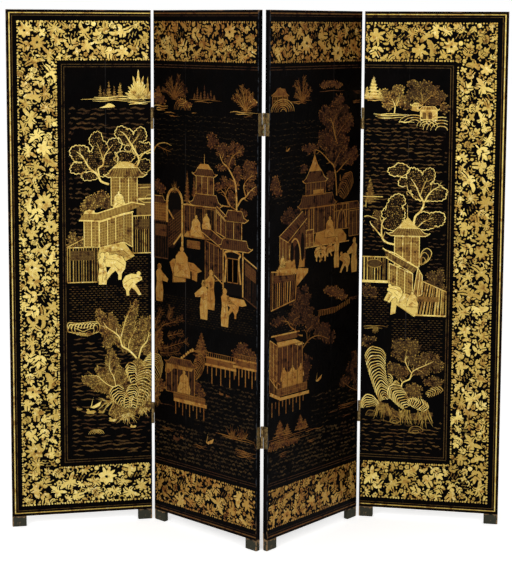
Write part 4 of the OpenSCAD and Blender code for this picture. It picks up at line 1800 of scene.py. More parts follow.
def bank_trees():
    """The two trees and the rail above the house of the fourth leaf."""
    pen.layer = 2
    clouds = (
        (1612, 1228, 20, 14), (1636, 1234, 23, 20), (1645, 1190, 16, 14), (1684, 1196, 27, 40),
        (1714, 1190, 24, 26), (1734, 1216, 19, 22), (1712, 1160, 34, 34), (1752, 1154, 38, 28),
        (1778, 1160, 17, 12),
    )
    crown(clouds, 0.40, BRIGHT)
    stroke(arc(1664, 1152, 8, 8, -40, 250, 8), 2.4, GOLD, 2)
    crown(((1722, 1052, 36, 28), (1760, 1062, 30, 22)), 0.38, BRIGHT)
    crown(
        ((1624, 1124, 25, 19), (1613, 1074, 36, 34), (1612, 1100, 26, 24), (1610, 1044, 34, 26)),
        0.42, BRIGHT,
    )
    crown(((1555, 1062, 16, 26), (1550, 1030, 14, 16)), 0.36)
    branch(
        [
            (1683, 1026), (1687, 1067), (1706, 1087), (1717, 1116), (1703, 1143), (1690, 1174),
            (1672, 1202),
        ],
        6.5, BRIGHT, 4,
    )
    branch([(1718, 1118), (1732, 1146), (1752, 1167), (1774, 1177)], 4.5, BRIGHT, 4)
    branch([(1704, 1144), (1716, 1178), (1728, 1204)], 3, GOLD, 3)
    branch([(1697, 1030), (1717, 1050), (1752, 1066)], 3.6, GOLD, 4)
    branch([(1618, 966), (1587, 973), (1570, 994), (1571, 1042), (1586, 1062)], 6.5, BRIGHT, 2)
    branch([(1572, 990), (1548, 1018), (1532, 1036), (1527, 1048)], 4.5, BRIGHT)
    branch([(1506, 1064), (1523, 1066), (1556, 1054)], 3.5, GOLD)
    conifer(1526, 1110, 96, 46, 0.42, 6)
    bar(1500, 1136, 1572, 1136, 3.4, GOLD, 3)
    bar(1500, 1127, 1560, 1127, 1.8, MID, 3)
    bar(1512, 1127, 1512, 1098, 2.0, GOLD, 3)


def left_house():
    """The hall at the back of the first leaf."""
    pen.layer = 3
    crown(((268, 1106, 17, 18), (290, 1118, 30, 27), (320, 1130, 26, 30), (344, 1116, 20, 26)), 0.56)
    crown(((222, 986, 18, 34), (244, 972, 20, 26)), 0.48)
    wall(box(358, 450, 1108, 1206), 3, 0.54, BRIGHT, (3, 9))
    roof(344, 472, 1206, 34, 20, 0.52, BRIGHT, 10, 12)
    fill(smooth([(362, 1240), (380, 1254), (404, 1262), (432, 1256), (452, 1240)], 3), GOLD)
    fill(box(448, 500, 1066, 1180), 0.36)
    lattice(box(448, 500, 1124, 1180), 4, 5, MID)
    bar(446, 1128, 500, 1130, 5, BRIGHT, 2)
    bar(446, 1168, 500, 1170, 3, GOLD, 2)
    figure(386, 1098, 66, SEATED)


def left_terrace():
    """The pavilion, its terrace and fences on the first leaf."""
    pen.layer = 4
    wall(((262, 962), (314, 960), (314, 1054), (262, 1054)), 2, 0.58, BRIGHT, (2, 9))
    wall(((316, 958), (402, 976), (402, 1074), (316, 1048)), 3, 0.54, BRIGHT, (3, 10))
    wall(((402, 976), (432, 958), (432, 1080), (402, 1074)), 1, 0.5, BRIGHT, (3, 10))
    fill(
        [(244, 1056), (322, 1052), (398, 1076), (470, 1108), (430, 1116), (310, 1080), (262, 1082)],
        0.5, 1,
    )
    for i in range(20):
        x = 256 + i * 10.5
        drop = max(0.0, (x - 322) * 0.33)
        bar(x, 1055 + drop, x - 4, 1079 + drop, 1.2, 0.7, 2)
    stroke([(244, 1056), (322, 1052), (398, 1076), (436, 1084)], 5, BRIGHT, 3)
    stroke([(262, 1082), (310, 1080), (430, 1117), (476, 1108)], 4, BRIGHT, 3)
    fill(arc(282, 1082, 19, 11, 0, 180, 7), BRIGHT, 3)
    fill([(316, 956), (402, 976), (440, 926), (390, 898), (332, 902), (306, 920)], GOLD, 1)
    fill([(346, 944), (402, 948), (424, 926), (380, 914)], MID, 2)
    lattice(((352, 934), (380, 920), (418, 928), (396, 944)), 5, 3, GOLD, 1.3, 3)
    fence(box(203, 308, 836, 960), 11, GOLD, 2.8, 0.26)
    bar(203, 962, 262, 992, 3, GOLD, 2)
    fence(((434, 936), (500, 936), (500, 1070), (434, 1068)), 8, GOLD, 2.8, 0.26)


def left_walkers():
    """The walkers below the terrace of the first leaf."""
    pen.layer = 5
    figure(326, 826, 112, ROBE, 1)
    figure(372, 842, 112, BENT, -1)
    figure(428, 784, 96, BENT, 1)


def moon_gate():
    """The round gate, the fences and the dark trees of the second leaf."""
    pen.layer = 3
    conifer(668, 1126, 116, 32, 0.38, 7)
    conifer(702, 1150, 76, 26, 0.34, 6)
    crown(((520, 1178, 20, 20), (542, 1166, 16, 18)), 0.30)
    wall(box(502, 570, 1058, 1116), 3, 0.5, MID, (2, 6))
    roof(470, 560, 1116, 26, 14, 0.24, GOLD, 12, 8)
    fence(box(500, 572, 922, 1054), 7, 0.24, 2.0, 0.3)
    fill(arc(606, 1120, 42, 54, 0, 180, 14) + [(564, 1050), (648, 960)], 0.0)
    fill([(574, 962), (600, 962), (640, 1010), (640, 1100), (600, 1100), (574, 1060)], 0.06, 1)
    lattice(((576, 964), (638, 1010), (638, 1100), (576, 1060)), 6, 9, 0.34, 1.5, 2)
    stroke([(568, 1052)] + arc(606, 1124, 38, 48, 180, 0, 14) + [(644, 960)], 9, GOLD, 3)
    tuft(606, 1160, 36, 13, 35, 145, MID, 2.0)
    bar(574, 1096, 600, 1066, 6, GOLD, 3)
    bar(600, 976, 642, 1020, 6, GOLD, 3)


def middle_hall():
    """The hall with its tower on the second leaf."""
    pen.layer = 3
    wall(box(712, 796, 1164, 1226), 3, 0.34, GOLD, (3, 3))
    roof(704, 802, 1226, 26, 14, 0.25, GOLD, 9, 10)
    fill([(716, 1252), (732, 1268), (770, 1268), (786, 1252)], 0.74)
    bar(752, 1266, 752, 1302, 3, GOLD, 2, (1, 0.3))
    wall(box(655, 812, 1010, 1120), 6, 0.22, MID, (2, 4))
    for x0, x1 in ((706, 744), (752, 800)):
        fill(box(x0, x1, 1040, 1114), 0.05, 2)
        stroke(((x0, 1040), (x0, 1114), (x1, 1114), (x1, 1040)), 3, MID, 3)
    roof(690, 826, 1122, 42, 18, 0.24, GOLD, 12, 13)
    stroke([(640, 1120), (668, 1124), (700, 1122)], 4, GOLD, 3)


def middle_pavilion():
    """The open pavilion with its seated pair, the lower roofs and the fence."""
    pen.layer = 4
    fill([(650, 1010), (756, 1012), (740, 1034), (668, 1030)], 0.68)
    figure(712, 1014, 84, SEATED, 1, 0.78)
    figure(762, 1044, 62, SEATED, 1, 0.78)
    wall(((756, 860), (840, 878), (840, 984), (756, 1006)), 4, 0.20, MID, (2, 4))
    wall(box(854, 928, 1022, 1082), 2, 0.20, GOLD, (4, 2))
    wall(((808, 1040), (854, 1024), (854, 1082), (808, 1118)), 2, 0.28, GOLD, (2, 3))
    roof(848, 944, 1082, 38, 16, 0.25, GOLD, 12, 10)
    sloped(((806, 1112), (852, 1080), (860, 1096), (812, 1128)), 0.26, GOLD, 5)
    roof(828, 962, 984, 38, 12, 0.24, GOLD, 14, 13)
    sloped(((740, 1034), (826, 990), (842, 1016), (762, 1056)), 0.26, GOLD, 8)
    fill(box(842, 932, 832, 982), 0.02)
    for x in (842, 934):
        bar(x, 830, x, 982, 5, GOLD, 2)
    drape = [(850, 872), (856, 950), (850, 974), (888, 982), (922, 972), (914, 950), (924, 872)]
    stroke(smooth(drape, 4), 7, GOLD, 2)
    wall(box(862, 912, 874, 956), 2, 0.44, MID, (1, 1))
    fence(((938, 830), (1000, 800), (1000, 936), (938, 966)), 6, 0.26, 1.8, 0.3)
    bar(938, 966, 1000, 934, 4, GOLD, 3)
    bar(800, 890, 842, 862, 4, GOLD, 3)
    fill(box(668, 730, 972, 998), 0.40)
    lattice(box(668, 730, 972, 998), 8, 3, MID)


def middle_walkers():
    """The walkers and the low seat of the second leaf."""
    pen.layer = 5
    figure(528, 766, 132, ROBE, 1, 0.72)
    seat = [(580, 912), (600, 926), (700, 920), (740, 896), (718, 888), (716, 858), (692, 862), (690, 890)]
    fill(seat + [(664, 890), (660, 850), (600, 842), (596, 872)], 0.66, 1)
    stroke([(596, 842), (598, 880), (620, 868)], 3, MID, 2)
    stroke([(602, 896), (650, 904), (716, 892)], 1.8, DIM, 2)
    pen.layer = 6
    figure(642, 864, 122, SEATED, 1, 0.76)
    figure(750, 730, 134, ROBE, -1, 0.80)
    figure(784, 768, 136, ROBE, -1, 0.72)
    figure(850, 718, 130, ROBE, 1, 0.78)
    figure(888, 752, 84, BENT, -1, 0.74)
    fill([(858, 824), (940, 822), (952, 804), (934, 798), (860, 800)], 0.78, 2)


def right_hall():
    """The hall with its upper room on the third leaf."""
    pen.layer = 3
    crown(((1110, 1096, 40, 30), (1150, 1080, 40, 36)), 0.20)
    crag(((1446, 1226, 22), (1428, 1200, 32), (1402, 1168, 32), (1384, 1146, 20)), 0.52, 8, 2.8)
    wall(box(1192, 1300, 1162, 1206), 4, 0.24, MID, (2, 2))
    fill(box(1232, 1290, 1166, 1180), 0.66, 2)
    roof(1184, 1302, 1206, 40, 26, 0.22, GOLD, 8, 12)
    fill([(1206, 1246), (1222, 1268), (1238, 1302), (1256, 1268), (1276, 1246)], 0.70, 1)
    bar(1238, 1300, 1238, 1322, 3, MID, 2, (1, 0.3))
    wall(box(1190, 1432, 1030, 1118), 7, 0.21, MID, (3, 1))
    roof(1160, 1352, 1120, 44, 14, 0.22, MID, 10, 16)
    roof(1350, 1500, 1096, 26, 16, 0.20, MID, 8, 12)
    wall(box(1436, 1500, 1000, 1090), 3, 0.20, MID, (2, 2))
    stroke(arc(1392, 1034, 24, 66, 180, 0, 12), 4.5, 0.6, 2)
    for x in (1210, 1236, 1350, 1420):
        bar(x, 1032, x, 1118, 5, 0.6, 3)


def right_terrace():
    """The wall, the arch and the terrace of the third leaf."""
    pen.layer = 4
    wall(((1056, 946), (1104, 946), (1104, 1010), (1056, 1034)), 3, 0.34, GOLD, (2, 1))
    fill([(1100, 946), (1192, 946), (1192, 1070), (1100, 1012)], 0.24)
    stroke(arc(1136, 948, 30, 74, 180, 0, 12), 6, GOLD, 2)
    for x, z, reach, up in ((1120, 978, 10, 34), (1148, 960, 13, 46), (1176, 990, 10, 50)):
        fill(oval(x, z, reach, up, 12), 0.03, 3)
    sloped(((1100, 1014), (1200, 1086), (1176, 1112), (1052, 1036)), 0.26, GOLD, 12)
    fill(
        [(1040, 926), (1150, 920), (1208, 912), (1206, 898), (1148, 858), (1148, 900), (1040, 904)],
        0.74, 1,
    )
    fill([(1044, 924), (1058, 944), (1100, 952), (1190, 948), (1188, 920)], 0.66, 1)
    fence(((1012, 790), (1140, 812), (1146, 906), (1012, 922)), 12, 0.74, 3.6, 0.2)
    figure(1072, 930, 46, SEATED, 1, BRIGHT)
    wall(box(1196, 1236, 984, 1044), 2, 0.44, GOLD, (2, 4))
    bar(1190, 984, 1436, 984, 4, GOLD, 2)
    fill([(1238, 986), (1250, 1030), (1300, 1036), (1392, 1032), (1420, 1006), (1420, 986)], 0.66, 1)


def right_walkers():
    """The figures on and under the terrace of the third leaf."""
    pen.layer = 5
    figure(1326, 1008, 82, SEATED, 1, 0.76)
    for x, height, face in ((1262, 62, 1), (1292, 66, -1), (1322, 52, 1)):
        figure(x, 926 + (66 - height), height, BENT, face, 0.78)
    figure(1366, 896, 106, ROBE, -1, 0.78)
    figure(1416, 874, 84, BENT, -1, 0.78)
    figure(1468, 868, 122, ROBE, -1, 0.78)


def right_bank():
    """Bushes and low posts along the bank of the third leaf."""
    pen.layer = 3
    crown(((1320, 822, 24, 13), (1350, 814, 30, 18), (1384, 800, 30, 17), (1410, 786, 20, 11)), 0.36)
    for i in range(19):
        x = 1270 + i * 9.6
        z = 742 + max(0.0, (i - 9) * 2.4)
        bar(x, z - 6, x + 1, z + 12, 3.2, 0.5)
    shore(1262, 1400, 756, 1, DIM, 3)
    shore(1440, 1500, 778, 2, FAINT, 3)


def garden_house():
    """The pavilion of the fourth leaf and what grows beside it."""
    pen.layer = 3
    crown(((1756, 838, 28, 36), (1780, 856, 16, 30), (1776, 818, 20, 24)), 0.32)
    crown(((1520, 800, 18, 22), (1542, 790, 14, 18)), 0.26)
    rock(
        [(1706, 900), (1712, 940), (1732, 956), (1748, 940), (1736, 912), (1712, 896)],
        (1716, 900), 3, GOLD,
    )
    wall(box(1616, 1704, 888, 996), 3, 0.56, BRIGHT, (3, 9))
    roof(1600, 1728, 998, 28, 24, 0.50, BRIGHT, 10, 12)
    fill([(1624, 1026), (1644, 1048), (1662, 1066), (1676, 1050), (1700, 1026)], GOLD, 1)
    bar(1660, 1064, 1660, 1110, 2.6, GOLD, 2, (1, 0.4))


def garden_fences():
    """The fences and slanting walls of the fourth leaf."""
    pen.layer = 4
    fence(box(1500, 1594, 832, 920), 10, GOLD, 3.6)
    bar(1500, 831, 1594, 831, 9, BRIGHT, 3)
    fill(oval(1545, 896, 27, 15, 14), 0.22, 3)
    stroke(arc(1545, 896, 27, 15, 0, 360, 14), 2.4, MID, 4)
    wall(((1598, 796), (1682, 770), (1682, 862), (1598, 898)), 3, 0.54, BRIGHT, (3, 9))
    sloped(((1586, 918), (1682, 864), (1700, 884), (1582, 946)), 0.46, BRIGHT, 10)
    stroke([(1574, 952), (1586, 944), (1620, 934), (1700, 884)], 4, BRIGHT, 3)
    wall(((1682, 770), (1716, 790), (1716, 858), (1700, 884)), 2, 0.55, BRIGHT, (2, 1))
    fence(((1688, 714), (1802, 714), (1802, 802), (1714, 838)), 11, GOLD, 4.6)
    fill(box(1700, 1776, 764, 782), 0.45, 3)
    bar(1688, 714, 1802, 714, 5, BRIGHT, 4)


def garden_bench():
    """The bench and its two figures on the fourth leaf."""
    pen.layer = 5
    bench = [(1596, 796), (1660, 790), (1700, 778), (1702, 716), (1688, 708), (1626, 748), (1622, 718)]
    fill(bench + [(1604, 712), (1608, 758), (1580, 764)], 0.86)
    bar(1632, 744, 1688, 712, 1.8, MID, 3)
    pen.layer = 6
    figure(1622, 756, 76, BENT, -1)
    figure(1682, 744, 60, SEATED, -1)


def garden_pines():
    """The pines and hanging plumes low on the first leaf."""
    pen.layer = 2
    for base, tip, width, lobes in (
        ((350, 628), (308, 742), 50, 5), ((392, 596), (352, 726), 44, 5), ((394, 596), (448, 768), 46, 7),
        ((440, 560), (470, 708), 62, 6), ((470, 570), (540, 660), 70, 5), ((420, 580), (392, 640), 50, 4),
        ((360, 640), (330, 600), 40, 3), ((478, 650), (500, 712), 34, 3),
    ):
        foliage(base, tip, width, lobes, 0.46)
    for points in (
        ((513, 647), (550, 683), (593, 697), (647, 720)),
        ((520, 600), (553, 600), (600, 617), (668, 642)), ((570, 646), (600, 654), (644, 668)),
        ((506, 664), (518, 700), (538, 734)), ((530, 580), (570, 584), (628, 600)),
        ((572, 706), (580, 724), (586, 750)),
    ):
        plume(points, 21, 0.27)
    branch(
        [(457, 537), (440, 563), (417, 587), (394, 603), (386, 632), (368, 652), (340, 672), (327, 692)],
        6, BRIGHT, 4,
    )
    branch([(388, 626), (396, 657), (407, 697), (424, 732), (440, 756)], 4, GOLD, 4)
    branch([(452, 552), (463, 593), (482, 616), (490, 646)], 4.5, BRIGHT, 3)
    branch([(418, 592), (418, 612), (430, 640), (446, 672)], 3, GOLD, 3)
    branch([(478, 546), (500, 574), (516, 600)], 4, 0.7)
    for base, tip, width, lobes in (
        ((372, 452), (246, 494), 56, 5), ((372, 456), (300, 532), 50, 5), ((374, 456), (350, 598), 58, 6),
        ((378, 456), (398, 520), 46, 4), ((364, 444), (280, 462), 36, 4),
    ):
        foliage(base, tip, width, lobes, 0.47)
    branch([(370, 452), (346, 462), (323, 480), (303, 498), (272, 500)], 3, BRIGHT, 5)
    branch([(371, 456), (363, 493), (350, 517), (350, 560)], 3, BRIGHT, 5)


def lake_rocks():
    """The contour-lined rocks of the first leaf, with grass and a low shore."""
    pen.layer = 3
    ground = [
        (334, 420), (360, 396), (344, 366), (356, 346), (400, 332), (446, 352), (498, 370), (498, 500),
        (450, 560), (420, 520), (380, 450),
    ]
    moss(smooth(ground, 2), 0.60)
    crag(
        ((526, 572, 26), (508, 534, 38), (490, 494, 42), (474, 452, 38), (460, 412, 28), (450, 384, 14)),
        BRIGHT,
    )
    crag(((424, 542, 17), (425, 515, 19), (430, 488, 16), (436, 466, 10)), BRIGHT, 9.5, 3.0, 2)
    crag(((440, 462, 19), (430, 430, 24), (424, 396, 16)), BRIGHT, 9.5, 3.0, 4)
    crag(((371, 460, 20), (376, 434, 27), (386, 408, 22), (398, 386, 12)), BRIGHT, 9.5, 3.0, 6)
    crag(((411, 418, 12), (409, 376, 11)), BRIGHT, 8.5, 2.8, 8)
    crag(((438, 414, 13), (434, 374, 11)), BRIGHT, 8.5, 2.8, 8)
    tuft(352, 400, 42, 16, 130, 250, GOLD)
    tuft(410, 356, 40, 20, 200, 340, GOLD)
    tuft(468, 372, 36, 14, 230, 350, GOLD)
    crown(((528, 462, 30, 22), (514, 436, 14, 22)), 0.42, 0, 5.0)
    tuft(508, 420, 40, 10, 220, 320, MID)
    shore(500, 600, 396, 1, FAINT, 2.4)
    rock([(203, 660), (203, 692), (240, 690), (306, 692), (312, 660), (280, 652)], (262, 640), 4, GOLD, 2.8)
    for i in range(9):
        x = 214 + i * 11
        stroke(arc(x, 654, 12, 34, 70, 150, 4), 3, BRIGHT, 2)


def lake_walk():
    """The tree, the rock and the railed walks on stilts of the second leaf."""
    pen.layer = 3
    conifer(738, 590, 96, 84, 0.36, 8)
    crown(((908, 630, 24, 16), (934, 650, 24, 26), (966, 636, 24, 22), (990, 622, 14, 14)), 0.33)
    for i in range(6):
        dab((640 + i * 11, 578 + i * 8 - (i > 4) * 4), 5.5, GOLD, random.Random(i), 2)
    stroke(smooth([(636, 570), (662, 592), (694, 610), (752, 616)], 3), 6, MID, 1)
    crag(((738, 606, 20), (730, 576, 25), (716, 544, 24), (700, 514, 12)), 0.62, 8, 3.0, 1)
    for z, x0, x1 in ((598, 762, 902), (612, 896, 1000)):
        fill(box(x0, x1, z - 26, z), 0.42)
        lattice(box(x0, x1, z, z + 20), 14, 1, 0.5, 2.0)
        bar(x0 - 6, z - 24, x1 + 3, z - 24, 8, 0.72, 2)
        bar(x0, z + 2, x1, z + 2, 6, 0.66, 2)
        stilts(x0 + 6, x1 - 6, 7, z - 26, z - 56, -32, MID)
    crown(((716, 480, 26, 22), (736, 462, 18, 22)), 0.32)


def stilt_house():
    """The house on stilts of the second leaf."""
    pen.layer = 4
    wall(box(562, 704, 448, 548), 5, 0.20, MID, (2, 1), 4)
    roof(566, 706, 548, 26, 22, 0.32, MID, 10, 12)
    fill([(560, 548), (700, 548), (690, 536), (600, 534), (574, 512), (556, 516)], 0.66, 2)
    fill(box(600, 756, 428, 450), 0.36, 1)
    lattice(box(600, 756, 430, 450), 18, 2, MID, 1.3, 2)
    bar(600, 423, 764, 423, 12, 0.76, 3)
    stilts(610, 750, 9, 418, 372, 26, 0.5)
    figure(652, 452, 92, SEATED, -1, 0.74)


def weeping_tree():
    """The low weeping tree of the third leaf."""
    pen.layer = 3
    clouds = (
        (1166, 806, 54, 44), (1054, 749, 42, 16), (1142, 756, 46, 32), (1196, 752, 44, 30),
        (1234, 716, 42, 28), (1290, 682, 42, 28), (1328, 652, 36, 24), (1196, 580, 32, 34),
        (1190, 540, 30, 24),
    )
    crown(clouds, 0.21, 0, 6.0)
    branch([(1150, 620), (1180, 637), (1207, 657), (1234, 667), (1274, 667), (1327, 647)], 4.5, 0.52, 5)
    branch([(1207, 658), (1202, 686), (1188, 703)], 3, 0.42, 2)
    branch([(1206, 690), (1226, 706), (1248, 712)], 3, 0.42, 2)
    branch([(1182, 681), (1158, 688), (1140, 706), (1112, 724), (1100, 741), (1064, 750)], 5, 0.58, 5)
    branch([(1128, 722), (1134, 740), (1150, 748), (1168, 750)], 3, 0.45, 3)
    branch([(1146, 760), (1150, 790), (1170, 822)], 2.6, 0.30, 5)


def lake_pavilion():
    """The pavilion on stilts of the third leaf, its sitters and two birds in flight."""
    pen.layer = 4
    wall(((1008, 560), (1044, 520), (1044, 668), (1008, 690)), 2, 0.44, GOLD, (2, 8))
    wall(box(1046, 1180, 516, 660), 5, 0.30, MID, (2, 1), 4)
    fill([(1030, 700), (1160, 698), (1150, 680), (1046, 680)], 0.34, 1)
    bar(1014, 702, 1164, 700, 5, GOLD, 3)
    fill([(1044, 678), (1140, 676), (1192, 652), (1160, 650), (1130, 660), (1048, 662)], 0.78, 2)
    fill(box(1074, 1184, 516, 568), 0.68, 2)
    bar(1078, 542, 1180, 542, 1.8, MID, 3)
    for x in (1082, 1128, 1172):
        figure(x, 540, 52, SEATED, 1, 0.76)
    fill(box(1046, 1206, 490, 516), 0.34, 2)
    lattice(box(1046, 1206, 490, 516), 16, 2, MID, 1.3, 3)
    fence(((1008, 510), (1062, 478), (1062, 530), (1008, 566)), 5, 0.62, 3.4)
    stroke([(1010, 506), (1064, 480), (1218, 478)], 11, 0.76, 3)
    stilts(1020, 1186.5, 10, 474, 424, 28, 0.5)
    winged(1256, 508, 34, GOLD)
    winged(762, 296, 38, 0.8)


def low_shores():
    """Trees, reeds, low land and water birds along the foot of the inner leaves."""
    pen.layer = 2
    for x, z, h, w in ((1062, 346, 62, 74), (1102, 346, 44, 50), (1172, 350, 58, 66), (1198, 350, 38, 40)):
        conifer(x, z, h, w, 0.40, 5)
    crown(((1036, 320, 30, 13), (1084, 324, 30, 13), (1130, 320, 26, 11)), 0.38, 0, 5.0)
    for x in (1012, 1060, 1108, 1150):
        tuft(x, 310, 30, 9, 20, 160, 0.42, 1.8)
    for x0, x1, z, rows, tone in (
        (1000, 1230, 345, 4, 0.42),
        (1200, 1300, 338, 1, MID),
        (1210, 1258, 304, 2, 0.4),
        (1060, 1110, 290, 3, 0.35),
        (1384, 1500, 396, 3, 0.35),
        (1330, 1380, 380, 1, FAINT),
        (1410, 1460, 352, 1, FAINT),
        (808, 990, 342, 2, 0.55),
        (900, 1000, 300, 4, 0.46),
        (540, 606, 312, 2, 0.36),
        (700, 770, 278, 2, 0.4),
    ):
        shore(x0, x1, z, rows, tone, 3.2)
    crown(
        ((1424, 480, 36, 20), (1462, 506, 32, 34), (1486, 460, 14, 26), (1478, 556, 20, 26)),
        0.17, 0, 6.0,
    )
    branch([(1500, 430), (1450, 452), (1404, 484)], 3, DIM, 5)
    branch([(1498, 440), (1474, 492), (1466, 530)], 3, FAINT, 5)
    tuft(892, 340, 40, 20, 25, 155, 0.46, 2)
    tuft(936, 342, 38, 18, 30, 150, 0.48, 2)
    mound(936, 284, 36, 18, 0.5, 4, 2.2)
    duck(826, 478, 20, DIM)
    duck(858, 476, 16, DIM)
    duck(600, 276, 30, FAINT)
    duck(634, 288, 16, DIM)
    winged(1084, 1322, 22, 0.55)


def garden_tree():
    """The tree over the rocks of the fourth leaf."""
    pen.layer = 2
    clouds = (
        (1640, 598, 29, 26), (1682, 600, 34, 27), (1650, 570, 34, 24), (1740, 550, 38, 30),
        (1768, 534, 26, 25), (1720, 515, 34, 25), (1616, 514, 26, 22), (1646, 502, 24, 26),
        (1680, 556, 24, 26), (1762, 474, 36, 20),
    )
    crown(clouds, 0.34, 0, 5.2)
    branch(
        [(1647, 447), (1653, 467), (1677, 480), (1685, 503), (1700, 517), (1733, 533), (1762, 549)],
        4.6, BRIGHT, 4,
    )
    branch([(1684, 502), (1670, 523), (1660, 548), (1668, 566)], 3.2, BRIGHT, 4)
    branch([(1652, 464), (1643, 484)], 2.4, GOLD)
    crown(((1690, 436, 36, 28),), 0.40, 0, 4.6)


def garden_rocks():
    """The contour-lined rocks of the fourth leaf, with grass and small stones."""
    pen.layer = 3
    ground = [
        (1562, 400), (1600, 380), (1662, 350), (1740, 366), (1764, 350), (1720, 330), (1600, 340),
        (1558, 370),
    ]
    moss(smooth(ground, 2), 0.40)
    crag(((1744, 374, 15), (1718, 388, 21), (1692, 396, 18), (1670, 398, 8)), BRIGHT, 8, 3.0)
    crag(((1600, 496, 17), (1599, 466, 18), (1602, 424, 12)), BRIGHT, 8.5, 2.8, 1)
    crag(
        (
            (1553, 594, 35), (1553, 560, 38), (1557, 520, 33), (1566, 480, 29), (1578, 440, 27),
            (1590, 398, 20),
        ),
        BRIGHT, 9.5, 3.0, 2,
    )
    crag(((1612, 456, 27), (1628, 430, 30), (1650, 402, 26), (1668, 374, 15)), BRIGHT, 9, 3.2, 4)
    crag(((1531, 418, 28), (1532, 396, 34), (1536, 368, 34)), BRIGHT, 9, 3.0, 1)
    crag(((1796, 450, 9), (1768, 440, 15), (1738, 424, 10)), GOLD, 9, 2.8, 1)
    crag(((1628, 472, 9), (1630, 458, 12)), GOLD, 6, 2.8, 2)
    shore(1508, 1596, 668, 2, MID, 3.0)
    tuft(1552, 664, 22, 12, 240, 300, 0.5, 2.2)
    tuft(1584, 384, 56, 22, 235, 300, 0.55, 2.4)
    tuft(1660, 366, 56, 16, 255, 300, 0.6, 2.6)
    tuft(1726, 366, 58, 18, 245, 300, 0.6, 2.6)
    rock([(1608, 320), (1616, 336), (1636, 340), (1646, 326), (1630, 314)], (1628, 318), 3, MID, 2.4)
    rock([(1676, 286), (1686, 304), (1712, 308), (1728, 292), (1700, 282)], (1702, 286), 3, 0.5, 2.4)
    rock([(1520, 340), (1530, 358), (1552, 356), (1558, 340)], (1540, 338), 3, 0.4, 2.2)
    crown(((1520, 614, 20, 18), (1541, 621, 14, 11)), 0.30)


def near_birds():
    """Birds and a mound in the near water of the first leaf."""
    pen.layer = 3
    duck(268, 362, 32, 0.7)
    winged(280, 384, 40, BRIGHT)
    duck(310, 362, 22, MID)
    mound(300, 286, 27, 17, GOLD, 4, 2.6)
    duck(348, 330, 26, GOLD)
    duck(424, 304, 20, BRIGHT)
    duck(232, 376, 20, MID)


WATER = (
    # leaf, across from, to, up from, to, stroke length, stroke height, row pitch, tone
    (1, 207, 498, 1335, 1470, 62, 17, 17, 0.18),
    (1, 207, 290, 980, 1335, 44, 16, 18, 0.155),
    (1, 207, 498, 206, 640, 70, 14, 15.5, 0.215),
    (2, 502, 998, 1250, 1440, 14, 6, 17, 0.07),
    (2, 502, 998, 206, 345, 30, 17, 14.5, 0.12),
    (2, 700, 998, 345, 520, 28, 14, 15.5, 0.09),
    (3, 1002, 1300, 1140, 1440, 16, 6, 19, 0.07),
    (3, 1002, 1498, 206, 345, 32, 16, 14.5, 0.11),
    (3, 1230, 1498, 345, 480, 24, 10, 17, 0.07),
    (4, 1502, 1798, 1080, 1425, 44, 12, 14, 0.225),
    (4, 1502, 1600, 940, 1080, 38, 9, 14.5, 0.21),
    (4, 1730, 1798, 880, 1080, 34, 9, 14.5, 0.19),
    (4, 1502, 1798, 206, 335, 54, 11, 13.5, 0.25),
)
HATCHING = (
    (1, 205, 498, 700, 834, 0.30),
    (1, 400, 498, 786, 934, 0.28),
    (2, 506, 996, 704, 800, 0.10),
    (3, 1004, 1200, 700, 790, 0.07),
    (4, 1504, 1606, 664, 822, 0.25),
    (4, 1606, 1800, 560, 708, 0.25),
)
HATCH_PITCH = 8.0
WATER_SEED = 30
WATER_TONE_SEED = 40
WATER_TONE_SPREAD = 0.05
RIPPLE_BENDS = (
    (0.0, 0.15, 0.05, -0.15, -0.05, 0.15, 0.05),
    (-0.15, 0.05, 0.25, 0.05, -0.15, 0.0, 0.15),
    (0.0, -0.10, 0.0, 0.20, 0.10, -0.05, -0.20),
    (0.15, 0.0, -0.10, 0.05, 0.20, 0.0, -0.10),
)
DASH = len(RIPPLE_BENDS)


def ripple(bends):
    """A stroke of water, one long and one high, so that a spot's scale is its size."""
    upper, lower = [], []
    for i, bend in enumerate(bends):
        t = i / (len(bends) - 1)
        half = 0.30 * math.sin(math.pi * (0.05 + 0.9 * t)) ** 0.8
        upper.append((t - 0.5, bend + half))
        lower.append((t - 0.5, bend - half))
    return upper + lower[::-1]


def water_spots(leaf):
    """Staggered rows of low strokes for the water and of dashes for the pavings."""
    chance = random.Random(WATER_SEED + leaf)
    start = (leaf - 1) * LEAF_W
    spots = []
    for on, x0, x1, z0, z1, long, high, pitch, tone in WATER:
        for row in range(int((z1 - z0) / pitch) if on == leaf else 0):
            x = x0 + chance.uniform(0.1, 0.6) * long
            while x < x1 - 6:
                z = z0 + (row + 0.5) * pitch + chance.uniform(-0.22, 0.22) * pitch
                length = min(long * chance.uniform(0.7, 1.3), 2 * (x - x0), 2 * (x1 - x))
                if chance.random() > 0.07:
                    place = (x - start, z, chance.randrange(DASH), chance.uniform(-0.14, 0.12))
                    spots.append(place + (length, high * chance.uniform(0.7, 1.3), tone))
                x += long * chance.uniform(0.55, 0.85)
    for on, x0, x1, z0, z1, tone in HATCHING:
        for row in range(int((z1 - z0) / HATCH_PITCH) if on == leaf else 0):
            x = x0 + 8 + (row % 2) * 8
            while x < x1 - 8:
                if chance.random() > 0.06:
                    spots.append((x - start, z0 + row * HATCH_PITCH, DASH, 0.0, 13.0, 2.4, tone))
                x += 15
    return spots


